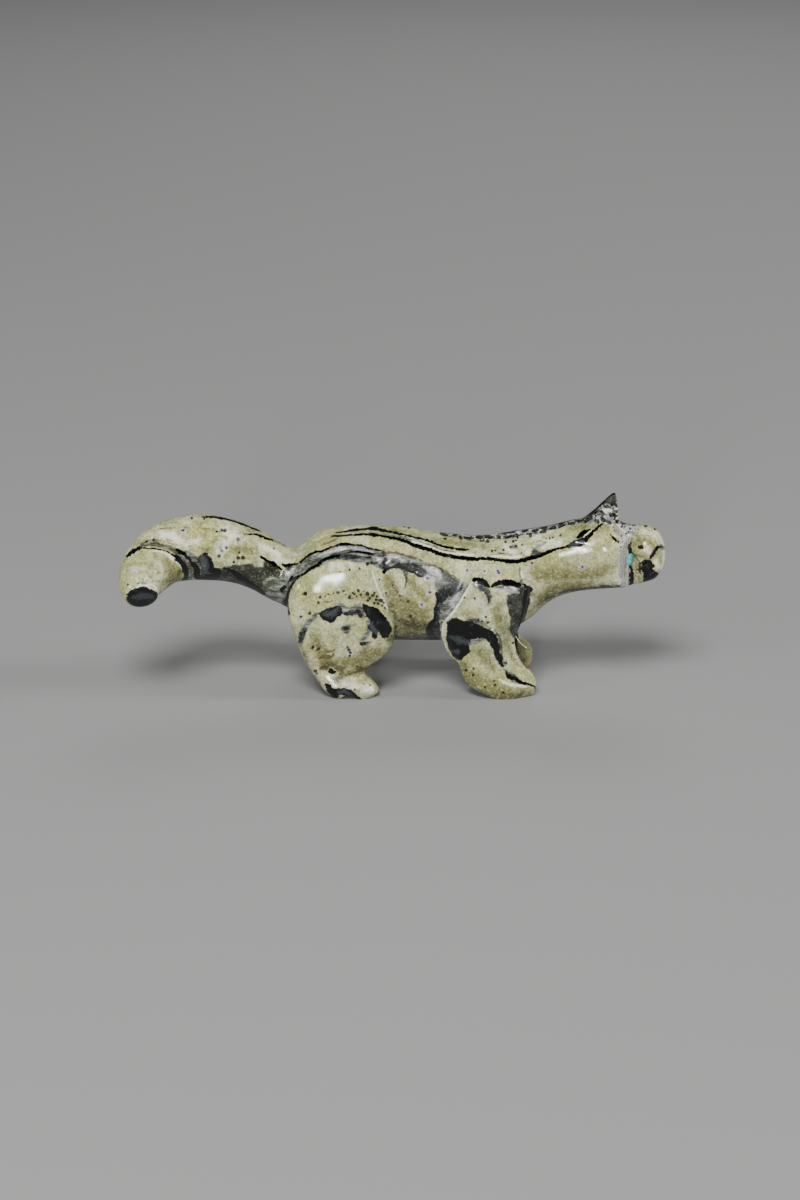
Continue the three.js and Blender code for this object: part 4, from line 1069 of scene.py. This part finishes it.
# How the drawing lies on the stone.
PHOTO = (800, 1200)
ELEVATION = math.radians(21)  # the photograph looks down on the animal's right side by this much
CAMERA_DISTANCE = 480
PIXELS_PER_MM = 6.06
AIM = np.array([1.155, 0, 14.26])  # what the middle of the photograph looks at
TOWARDS_CAMERA = np.array([0, -math.cos(ELEVATION), math.sin(ELEVATION)])
PICTURE_UP = np.array([0, math.sin(ELEVATION), math.cos(ELEVATION)])
FAR_SIDE = 2  # past this much to the left, the drawing slides with depth, so that the sides aren't twins
FAR_SLIDE = np.array([0.9, -0.5])  # pixels across and down for each millimetre
EDGE_ON = 0.1  # the surface has turned away where it faces the camera by less than this share
FADE = 2.5  # millimetres that a spot shrinks by where the stone has turned away
BOLD = 0.06  # millimetres that black lines and spots are drawn wider, as noise eats into their edges
LINE_STEPS = 3  # straight stretches from each drawn point of a line to the next
MARK_SLICE = 6000  # places that the marks are measured from at a time
TIP_REACH = 4.5  # the tail's sawn end is black stone: this far round its middle
TIP_DEPTH = 0.35  # and this deep
GROOVE_BLACK_REACH = 0.02  # the carved grooves are drawn black out to this far past them


def picture_place(places):
    """Where points of the carving show in the photograph: pixels across and down from its middle are the
    distances along the picture's own axes, times the focal length, over the distance from the camera."""
    seen = places - (AIM + CAMERA_DISTANCE * TOWARDS_CAMERA)
    scale = -PIXELS_PER_MM * CAMERA_DISTANCE / (seen @ TOWARDS_CAMERA)
    return np.stack([PHOTO[0] / 2 + scale * seen[:, 0], PHOTO[1] / 2 - scale * (seen @ PICTURE_UP)], axis=1)


def stretches(marks):
    """The straight stretches of all lines, each line smoothed into a curve first, as their two ends and
    whether a line starts or stops there. A dot is a stretch of no length."""
    found = []
    for mark in marks:
        curve = np.array(mark, float).reshape(-1, 3)
        if len(curve) > 1:
            curve = catmull_rom(curve, LINE_STEPS * (len(curve) - 1))
        else:
            curve = np.repeat(curve, 2, axis=0)
        ends = np.zeros((len(curve) - 1, 2))
        ends[0, 0], ends[-1, 1] = 1, 1
        found.append(np.concatenate([curve[:-1], curve[1:], ends], axis=1))
    return np.concatenate(found)


def beside_marks(corners, marks, shrink):
    """For the corners of each face, their place beside the mark nearest to the face: how far across it,
    how far past its end, and its half width there, in millimetres. Inside one face all three change
    evenly, so a hair line stays sharp however large the face is."""
    table = stretches(marks)
    a, b, starts, stops = table[:, 0:3], table[:, 3:6], table[:, 6] > 0, table[:, 7] > 0
    length = np.linalg.norm((b - a)[:, :2], axis=1)
    way = np.where(length[:, None] > 0, (b - a)[:, :2] / np.maximum(length, 1e-9)[:, None], [[1.0, 0.0]])
    growth = (b - a)[:, 2] / np.maximum(length, 1e-9)

    def nearest_to(p):
        """The stretch that a place is nearest to: the distance to it less its half width there."""
        from_a = p[:, None, :] - a[:, :2]
        s = np.clip((from_a * way).sum(2), 0, length)
        gap = np.linalg.norm(from_a - s[:, :, None] * way, axis=2) - a[:, 2] - s * growth
        return gap.argmin(1)

    middle = corners.mean(1, keepdims=True)
    k = in_slices(middle[:, 0], nearest_to, MARK_SLICE)[:, None]
    from_a = corners - a[k, :2]
    s, s_middle = (from_a * way[k]).sum(2), ((middle - a[k, :2]) * way[k]).sum(2)
    across = from_a[:, :, 1] * way[k, 0] - from_a[:, :, 0] * way[k, 1]
    half = a[k, 2] + np.clip(s, 0, length[k]) * growth[k]
    before = (s < 0) & (starts[k] | (s_middle < 0))
    after = (s > length[k]) & (stops[k] | (s_middle > length[k]))
    past = np.where(before, s, 0) + np.where(after, s - length[k], 0)
    return np.stack([across, past, half - shrink * PIXELS_PER_MM], axis=2) / PIXELS_PER_MM


def area_distance(at, areas):
    """Distance in millimetres to the nearest of the closed outlines, below zero inside: the distance to
    its nearest side, with the sign told by how many sides a ray to the right crosses."""
    nearest = np.full(len(at), np.inf)
    for outline in areas.values():
        a = np.array(outline, float)
        b = np.roll(a, -1, axis=0)
        along = b - a
        rise = np.where(along[:, 1] == 0, 1, along[:, 1])

        def measure(p):
            """Distance to the nearest side, below zero where the ray crosses an odd number of sides."""
            from_a = p[:, None, :] - a
            share = np.clip((from_a * along).sum(2) / (along ** 2).sum(1), 0, 1)
            gap = np.linalg.norm(from_a - share[:, :, None] * along, axis=2).min(1)
            spans = (a[:, 1] > p[:, None, 1]) != (b[:, 1] > p[:, None, 1])
            reached = a[:, 0] + (p[:, None, 1] - a[:, 1]) * along[:, 0] / rise
            inside = (spans & (p[:, None, 0] < reached)).sum(1) % 2 == 1
            return np.where(inside, -gap, gap)

        nearest = np.minimum(nearest, in_slices(at, measure, MARK_SLICE))
    return nearest / PIXELS_PER_MM


def draw_markings(body, places, quads):
    """Stores, for each kind of mark, where every corner of every face lies beside its lines, and how far
    every point is from its areas. Most veins run through the stone away from the photograph's camera.
    Spots, crystals and pale smears stop where the surface turns away from it."""
    at = picture_place(places) + np.clip(places[:, 1:2] - FAR_SIDE, 0, None) * FAR_SLIDE
    slope = slope_of(carving, places)
    facing = slope @ TOWARDS_CAMERA / np.linalg.norm(slope, axis=1)
    turned_away = (FADE * np.maximum(EDGE_ON - facing, 0))[quads]
    through = np.zeros(quads.shape)
    for name, marks, shrink in (
        ("black line", BLACK_LINES.values(), through - BOLD),
        ("dark line", DARK_LINES.values(), through),
        ("grey line", GREY_LINES.values(), through),
        ("olive and shade line", OLIVE_AND_SHADE_LINES.values(), through),
        ("painted shade line", PAINTED_SHADE_LINES.values(), through),
        ("frost line", FROST_LINES.values(), turned_away),
        ("white and highlight line", [*WHITE_AND_HIGHLIGHT_LINES.values(), *CRYSTALS], turned_away),
        ("cloud and highlight line", CLOUD_AND_HIGHLIGHT_LINES.values(), turned_away),
        ("brown line", [*BROWN_LINES.values(), *BLOTCHES], turned_away),
        ("pink line", PINK_LINES.values(), turned_away),
        ("sheen and smear line", SHEEN_AND_SMEAR_LINES.values(), turned_away),
        ("halo", HALOS, turned_away),
        ("spot", SPOTS + SPINE_DASHES, turned_away - BOLD),
    ):
        layer = body.data.attributes.new(name, "FLOAT_VECTOR", "CORNER")
        layer.data.foreach_set("vector", beside_marks(at[quads], marks, shrink).astype(np.float32).ravel())

    end = places - TAIL_END
    tip = np.where(np.linalg.norm(end, axis=1) < TIP_REACH, -TIP_DEPTH - end @ TAIL_END_WAY, TIP_REACH)
    groove_black = grooves(*places.T) - GROOVE_BLACK_REACH
    for name, distance in (
        ("black area", np.minimum.reduce([area_distance(at, BLACK_AREAS), tip, groove_black])),
        ("dark area", area_distance(at, DARK_AREAS)),
        ("grey area", area_distance(at, GREY_AREAS)),
        ("cheek area", area_distance(at, CHEEK_AREAS)),
        ("crumble area", area_distance(at, CRUMBLE_AREAS)),
    ):
        layer = body.data.attributes.new(name, "FLOAT", "POINT")
        layer.data.foreach_set("value", distance.astype(np.float32))


def screen(red, green, blue):
    """A colour as plain light values, from its 0 to 255 screen values."""
    values = np.array([red, green, blue]) / 255
    linear = np.where(values <= 0.04045, values / 12.92, ((values + 0.055) / 1.055) ** 2.4)
    return (*linear.tolist(), 1)


CREAM = screen(202, 203, 160)
STRAW = screen(171, 172, 110)
SAGE = screen(132, 136, 90)
# The deep olive is partly painted shade, and the dark brown after it is painted shade.
OLIVE_AND_SHADE = screen(106, 105, 54)
PAINTED_SHADE_BROWN = screen(58, 54, 32)
PINK = screen(200, 180, 160)
SLATE = screen(42, 47, 46)
ASH = screen(150, 156, 152)
SOOT = screen(14, 15, 14)
MOSS = screen(60, 65, 61)
CHEEK = screen(196, 196, 190)
LILAC = screen(204, 198, 202)
CHALK = screen(250, 246, 222)
BROWN = screen(84, 74, 44)
INK = screen(54, 61, 66)
JET = screen(4, 4, 5)
STEEL = screen(74, 82, 84)
TURQUOISE = screen(66, 180, 190)
PALE_TURQUOISE = screen(128, 214, 218)
MATRIX = screen(70, 84, 70)


def grey_level(value):
    """A plain light grey, to lay over colours: above a half it lightens them, and below it darkens."""
    return (value, value, value, 1)


class Shading:
    """The nodes of one material or group, made one call each: what a call returns is the node's output."""

    def __init__(self, tree):
        """Works on this tree of nodes."""
        self.tree = tree

    def node(self, kind, inputs=(), output=0, **settings):
        """A new node with its inputs linked or set."""
        node = self.tree.nodes.new(kind)
        for name, value in settings.items():
            setattr(node, name, value)
        for key, value in dict(inputs).items():
            if isinstance(value, bpy.types.NodeSocket):
                self.tree.links.new(value, node.inputs[key])
            else:
                node.inputs[key].default_value = value
        return node.outputs[output]

    def math(self, operation, one, other=0.0, third=0.0):
        """A sum, product or the like of up to three values."""
        return self.node("ShaderNodeMath", {0: one, 1: other, 2: third}, operation=operation)

    def noise(self, at, size, detail=2.0, roughness=0.5, output="Fac"):
        """Fractal noise about 0.5, its lumps this many millimetres apart."""
        inputs = {"Vector": at, "Scale": 1 / (size * MM), "Detail": detail, "Roughness": roughness}
        return self.node("ShaderNodeTexNoise", inputs, output)

    def stretched(self, at, turn, scale):
        """Places turned and scaled, for a pattern that is drawn out one way."""
        return self.node("ShaderNodeMapping", {"Vector": at, "Rotation": turn, "Scale": scale})

    def ramp(self, value, low, high, to_low=0.0, to_high=1.0):
        """A smooth step from to_low at low to to_high at high."""
        inputs = {"Value": value, "From Min": low, "From Max": high, "To Min": to_low, "To Max": to_high}
        return self.node("ShaderNodeMapRange", inputs, interpolation_type="SMOOTHSTEP")

    def mix(self, share, one, other, blend="MIX"):
        """One colour turning into the other as the share goes from 0 to 1."""
        inputs = {0: share, 6: one, 7: other}
        return self.node("ShaderNodeMix", inputs, 2, data_type="RGBA", blend_type=blend)

    def group(self, group, inputs, output):
        """A named output of a node group, placed here with its own values."""
        return self.node("ShaderNodeGroup", inputs, output, node_tree=group)


def new_group(name, inputs, outputs):
    """An empty shader node group with named inputs, each with its kind and default, and named outputs."""
    group = bpy.data.node_groups.new(name, "ShaderNodeTree")
    for label, (kind, default) in inputs.items():
        socket = group.interface.new_socket(label, in_out="INPUT", socket_type="NodeSocket" + kind)
        socket.default_value = default
    for label in outputs:
        group.interface.new_socket(label, in_out="OUTPUT", socket_type="NodeSocketFloat")
    return group, group.nodes.new("NodeGroupInput").outputs, group.nodes.new("NodeGroupOutput").inputs


def mark_group():
    """A mark's strength from the place beside its line and the distance to its area, whichever is nearer:
    1 inside and 0 outside, with the edge pushed in and out by a coarse and a fine noise and blurred over a
    width. The distance to the line is the length of (across, past) less the half width. Millimetres."""
    group, given, out = new_group("mark", {
        "Vector": ("Vector", (0, 0, 0)), "Beside": ("Vector", (9, 0, 0)), "Area": ("Float", 9.0),
        "Width": ("Float", 0.1), "Coarse": ("Float", 0.2), "Fine": ("Float", 0.1),
    }, ["Mask"])
    s = Shading(group)
    across, past, half = (s.node("ShaderNodeSeparateXYZ", {0: given["Beside"]}, k) for k in range(3))
    away = s.math("SQRT", s.math("MULTIPLY_ADD", across, across, s.math("MULTIPLY", past, past)))
    distance = s.math("MINIMUM", s.math("SUBTRACT", away, half), given["Area"])
    for push, size, detail, roughness in (("Coarse", 1.5, 2, 0.5), ("Fine", 0.4, 3, 0.6)):
        noise = s.math("SUBTRACT", s.noise(given["Vector"], size, detail, roughness), 0.5)
        distance = s.math("MULTIPLY_ADD", noise, given[push], distance)
    group.links.new(s.ramp(s.math("DIVIDE", distance, given["Width"]), 0.5, -0.5), out["Mask"])
    return group


def polish_group():
    """Roughness and height of a hand-polished face: a base roughness that a soft noise varies, more where
    it is dull, and fine scratches, grain and dull hollows in the height."""
    group, given, out = new_group("polish", {
        "Vector": ("Vector", (0, 0, 0)), "Base": ("Float", 0.2), "Spread": ("Float", 0.1),
        "Dull": ("Float", 0.0),
    }, ["Roughness", "Height"])
    s = Shading(group)
    at = given["Vector"]
    cloud = s.math("SUBTRACT", s.noise(at, 2.5, 3), 0.5)
    rough = s.math("MULTIPLY_ADD", cloud, given["Spread"], given["Base"])
    group.links.new(s.math("MULTIPLY_ADD", given["Dull"], 0.2, rough), out["Roughness"])
    scratches = s.noise(s.stretched(at, (0.3, 0.5, 0.9), (1, 6, 6)), 0.8)
    height = s.math("MULTIPLY_ADD", scratches, 0.5, s.math("MULTIPLY", s.noise(at, 0.3), 0.5))
    group.links.new(s.math("MULTIPLY_ADD", given["Dull"], -0.6, height), out["Height"])
    return group


MARK = mark_group()
POLISH = polish_group()


def new_material(name):
    """A new material, its nodes, and the place on the piece that they read, in object coordinates."""
    material = bpy.data.materials.new(name)
    material.use_nodes = True
    s = Shading(material.node_tree)
    return material, s, s.node("ShaderNodeTexCoord", output="Object")


def polished(s, colour, polish, strength, depth):
    """Gives a material's shader its colour and a hand polish, whose height is this many millimetres."""
    bump = {"Strength": strength, "Distance": depth * MM, "Height": s.group(POLISH, polish, "Height")}
    shader = s.tree.nodes["Principled BSDF"].inputs
    s.tree.links.new(colour, shader["Base Color"])
    s.tree.links.new(s.group(POLISH, polish, "Roughness"), shader["Roughness"])
    s.tree.links.new(s.node("ShaderNodeBump", bump), shader["Normal"])


def stone_material():
    """Olive-cream stone with grey bands, white crystals, brown and black veins and pale discs, polished,
    with painted shade and painted highlights laid into its colour.
    """
    material, s, at = new_material("banded stone")

    def mark(line, area, width, coarse, fine, strength):
        """How strongly a mark shows: its layers' names, then the mark group's values, then its share."""
        inputs = {"Vector": at, "Width": width, "Coarse": coarse, "Fine": fine}
        if line:
            inputs["Beside"] = s.node("ShaderNodeAttribute", output="Vector", attribute_name=line)
        if area:
            inputs["Area"] = s.node("ShaderNodeAttribute", output="Fac", attribute_name=area)
        return s.math("MULTIPLY", s.group(MARK, inputs, "Mask"), strength)

    def laid(under, *coats):
        """A colour with coats laid over it in turn, each a mark's own values and then its colour."""
        for *values, tint in coats:
            under = s.mix(mark(*values), under, tint)
        return under

    cloud = s.ramp(s.noise(at, 7, 3, 0.55), 0.36, 0.64)
    mottle = s.ramp(s.noise(at, 1.3, 4, 0.65), 0.34, 0.7)
    crumbs = s.ramp(s.noise(at, 0.5, 3, 0.7), 0.5, 0.68)
    grain = s.ramp(s.noise(at, 0.35, 4, 0.75), 0.32, 0.68)
    flecks = s.ramp(s.noise(at, 0.45, 3, 0.6), 0.62, 0.7)
    base = s.mix(s.math("MULTIPLY", mottle, 0.6), s.mix(cloud, CREAM, STRAW), SAGE)
    # The olive coat is partly painted shade, and the dark brown coat is painted shade.
    base = laid(
        base,
        ("olive and shade line", None, 1.6, 1.4, 0.8, 0.8, OLIVE_AND_SHADE),
        ("painted shade line", None, 1.2, 0.9, 0.6, 0.75, PAINTED_SHADE_BROWN),
        ("pink line", None, 0.7, 0.6, 0.4, 0.6, PINK),
    )
    base = s.mix(s.math("MULTIPLY", crumbs, 0.28), base, CHALK)
    broken = s.ramp(mottle, 0.9, 0.1, 0.55, 1)
    # The white clouds are partly painted highlights.
    pale = s.math("MULTIPLY", mark("cloud and highlight line", None, 1.1, 1.6, 1.4, 0.8), broken)
    base = s.mix(s.math("MULTIPLY", flecks, 0.6), s.mix(pale, base, CHALK), BROWN)

    wisps = s.ramp(s.noise(s.stretched(at, (0, 0.12, 0), (0.3, 1, 1.5)), 0.9, 5, 0.7), 0.42, 0.66)
    grey = s.mix(s.math("MULTIPLY", mottle, 0.4), s.mix(wisps, SLATE, ASH), SLATE)
    greyness = mark("grey line", "grey area", 0.45, 0.6, 0.5, 0.92)
    dark = s.mix(s.ramp(s.noise(at, 1.1, 5, 0.7), 0.42, 0.66), SOOT, MOSS)
    dark = s.mix(s.ramp(s.noise(at, 0.35, 3, 0.6), 0.6, 0.7, 0, 0.5), dark, ASH)
    upright = s.stretched(at, (0, 0, 0), (1, 1, 0.12))
    cheek = s.mix(s.ramp(s.noise(upright, 0.5, 4, 0.6), 0.35, 0.7), CHEEK, SLATE)
    # The dark coat is partly painted shade, and the white lines are partly painted highlights.
    colour = laid(
        s.mix(greyness, base, grey),
        ("frost line", None, 0.6, 1, 1.2, 0.7, LILAC),
        ("dark line", "dark area", 0.4, 0.8, 0.7, 0.95, dark),
        (None, "cheek area", 0.4, 0.3, 0.3, 0.95, s.mix(0.45, cheek, CHEEK)),
        ("halo", None, 0.3, 0.3, 0.3, 0.45, LILAC),
        ("white and highlight line", None, 0.25, 0.3, 0.5, 0.85, CHALK),
    )

    crumble = mark(None, "crumble area", 0.3, 0.6, 0.5, 0.92)
    warp = s.noise(at, 0.7, 3, output="Color")
    warped = s.node("ShaderNodeVectorMath", {0: warp, 1: [MM] * 3, 2: at}, operation="MULTIPLY_ADD")
    chips = s.node("ShaderNodeTexVoronoi", {"Vector": warped, "Scale": 1 / (0.6 * MM)}, "Color")
    chip = s.node("ShaderNodeSeparateColor", {"Color": chips}, 0)
    chipped = s.mix(s.ramp(chip, 0.84, 0.9), s.mix(s.ramp(chip, 0.32, 0.5), SOOT, ASH), CHALK)
    chipped = s.mix(s.math("MULTIPLY", mottle, 0.5), chipped, SLATE)

    black = s.mix(s.ramp(s.noise(at, 1, 5, 0.75), 0.56, 0.7), JET, INK)
    # The grey-blue coat over the black is partly painted reflection.
    colour = laid(
        s.mix(crumble, colour, chipped),
        ("brown line", None, 0.14, 0.3, 0.8, 0.8, BROWN),
        ("spot", None, 0.12, 0.15, 0.4, 0.9, SOOT),
        ("black line", "black area", 0.14, 0.3, 0.7, 1, black),
        ("sheen and smear line", None, 0.6, 1, 1, 0.6, STEEL),
    )
    for share, pattern, low, high in ((0.6, grain, 0.22, 0.78), (0.4, mottle, 0.66, 0.34)):
        colour = s.mix(share, colour, s.mix(pattern, grey_level(low), grey_level(high)), "OVERLAY")

    dull = s.math("MAXIMUM", s.math("MULTIPLY", crumble, 0.5), s.math("MULTIPLY", flecks, 0.4))
    dull = s.math("MAXIMUM", dull, s.math("MULTIPLY", greyness, 0.6))
    polished(s, colour, {"Vector": at, "Base": 0.14, "Spread": 0.09, "Dull": dull}, 0.3, 0.02)
    return material


places, quads = stone_body()
body = mesh_piece("carved_stone", (places + SHIFT) * MM, [quads], "banded_stone")
draw_markings(body, places, quads)
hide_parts("stone_body")
body.data.materials.append(stone_material())


def eye_disc(side):
    """A disc turned about its own axis: a profile of (radius, height) points from the middle of its back
    round the rim, which is a quarter circle, and up a shallow arc to the middle of its polished face."""
    radius = EYE_DIAMETER / 2
    back = EYE_PROUD - EYE_THICKNESS
    turn = np.linspace(0, math.pi / 2, EYE_RINGS)
    rim_r = radius - RIM_ROUND * (1 - np.cos(turn))
    rim_h = EYE_PROUD + RIM_ROUND * (np.sin(turn) - 1)
    dome_r = np.linspace(radius - RIM_ROUND, 0, EYE_RINGS)[1:]
    dome_h = EYE_PROUD + EYE_DOME * (1 - (dome_r / (radius - RIM_ROUND)) ** 2)
    r = np.concatenate([[radius], rim_r, dome_r[:-1]])
    h = np.concatenate([[back], rim_h, dome_h[:-1]])
    around = np.linspace(0, 2 * math.pi, EYE_SIDES, endpoint=False)
    place, out, along = eye_frame(side)
    ring = np.cos(around)[:, None] * along + np.sin(around)[:, None] * np.array([0, 0, 1])
    rings = place + r[:, None, None] * ring + h[:, None, None] * out
    places = np.concatenate([rings.reshape(-1, 3), [place + back * out, place + dome_h[-1] * out]])
    i, j = np.meshgrid(np.arange(len(r) - 1) * EYE_SIDES, np.arange(EYE_SIDES), indexing="ij")
    after = (j + 1) % EYE_SIDES
    walls = np.stack([i + j, i + after, i + EYE_SIDES + after, i + EYE_SIDES + j], axis=-1).reshape(-1, 4)
    j, after = j[0], after[0]
    top = (len(r) - 1) * EYE_SIDES
    middle = np.full(EYE_SIDES, len(places) - 1)
    caps = np.stack([[after, j, middle - 1], [top + j, top + after, middle]])
    return places, walls, caps.transpose(0, 2, 1).reshape(-1, 3)


def turquoise_material():
    """Blue-green turquoise with paler clouds and a little brown matrix."""
    material, s, at = new_material("turquoise")
    cloud = s.ramp(s.noise(at, 0.9, 3, 0.6), 0.35, 0.65)
    web = s.math("ABSOLUTE", s.math("SUBTRACT", s.noise(at, 0.8, 3, 0.55), 0.5))
    colour = s.mix(s.ramp(web, 0.012, 0.0, 0, 0.5), s.mix(cloud, TURQUOISE, PALE_TURQUOISE), MATRIX)
    polished(s, colour, {"Vector": at, "Base": 0.16, "Spread": 0.06}, 0.2, 0.01)
    return material


turquoise = turquoise_material()
for side, name, node in EYES:
    eye_places, walls, caps = eye_disc(side)
    eye = mesh_piece(name, (eye_places + SHIFT) * MM, [walls, caps], "turquoise")
    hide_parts(node)
    eye.data.materials.append(turquoise)

FLOOR = 3  # metres from its middle to each side
FLOOR_GREY = (0.3, 0.3, 0.297, 1)
FLOOR_ROUGHNESS = 0.95
SENSOR = 36
NEAR_CLIP = 0.01
LIGHT_DISTANCE = 0.8
LIGHT_AIM = 0.01  # metres above the floor
SKY = (0.85, 0.87, 0.9, 1)
SKY_STRENGTH = 0.05

floor_corners = np.array([(-FLOOR, -FLOOR, 0), (FLOOR, -FLOOR, 0), (FLOOR, FLOOR, 0), (-FLOOR, FLOOR, 0)])
floor = mesh_piece("floor", floor_corners, [[[0, 1, 2, 3]]])
paper = bpy.data.materials.new("pale paper")
paper.use_nodes = True
paper.node_tree.nodes["Principled BSDF"].inputs["Base Color"].default_value = FLOOR_GREY
paper.node_tree.nodes["Principled BSDF"].inputs["Roughness"].default_value = FLOOR_ROUGHNESS
floor.data.materials.append(paper)

camera_data = bpy.data.cameras.new("camera")
camera_data.sensor_width = SENSOR
camera_data.lens = PIXELS_PER_MM * CAMERA_DISTANCE * SENSOR / PHOTO[1]
camera_data.clip_start = NEAR_CLIP
camera = bpy.data.objects.new("camera", camera_data)
camera.location = (AIM + SHIFT + CAMERA_DISTANCE * TOWARDS_CAMERA) * MM
camera.rotation_euler = (math.pi / 2 - ELEVATION, 0, 0)
bpy.context.scene.collection.objects.link(camera)
bpy.context.scene.camera = camera


def soft_light(name, azimuth, elevation, width, height, power, glints=True):
    """An area light on a sphere about the animal, facing it. Azimuth 0 is in front of the camera's side,
    and grows towards the animal's head. Without glints it lights the stone but its shape doesn't show in
    the polish."""
    a, e = math.radians(azimuth), math.radians(elevation)
    data = bpy.data.lights.new(name, "AREA")
    data.shape = "RECTANGLE"
    data.size, data.size_y = width, height
    data.energy = power
    light = bpy.data.objects.new(name, data)
    light.visible_glossy = glints
    way = np.array([math.sin(a) * math.cos(e), -math.cos(a) * math.cos(e), math.sin(e)])
    light.location = LIGHT_DISTANCE * way + (0, 0, LIGHT_AIM)
    light.rotation_euler = (math.pi / 2 - e, 0, a)
    bpy.context.scene.collection.objects.link(light)


soft_light("key", -14, 56, 0.34, 0.24, 6, glints=False)
soft_light("window", -9, 15, 0.06, 0.18, 2.8)
soft_light("left", -64, 16, 0.12, 0.12, 1)
soft_light("right", 86, 27, 0.12, 0.5, 2.8)
soft_light("behind", 172, 38, 0.4, 0.3, 1.8, glints=False)
world = bpy.data.worlds.new("studio")
world.use_nodes = True
world.node_tree.nodes["Background"].inputs["Color"].default_value = SKY
world.node_tree.nodes["Background"].inputs["Strength"].default_value = SKY_STRENGTH
bpy.context.scene.world = world
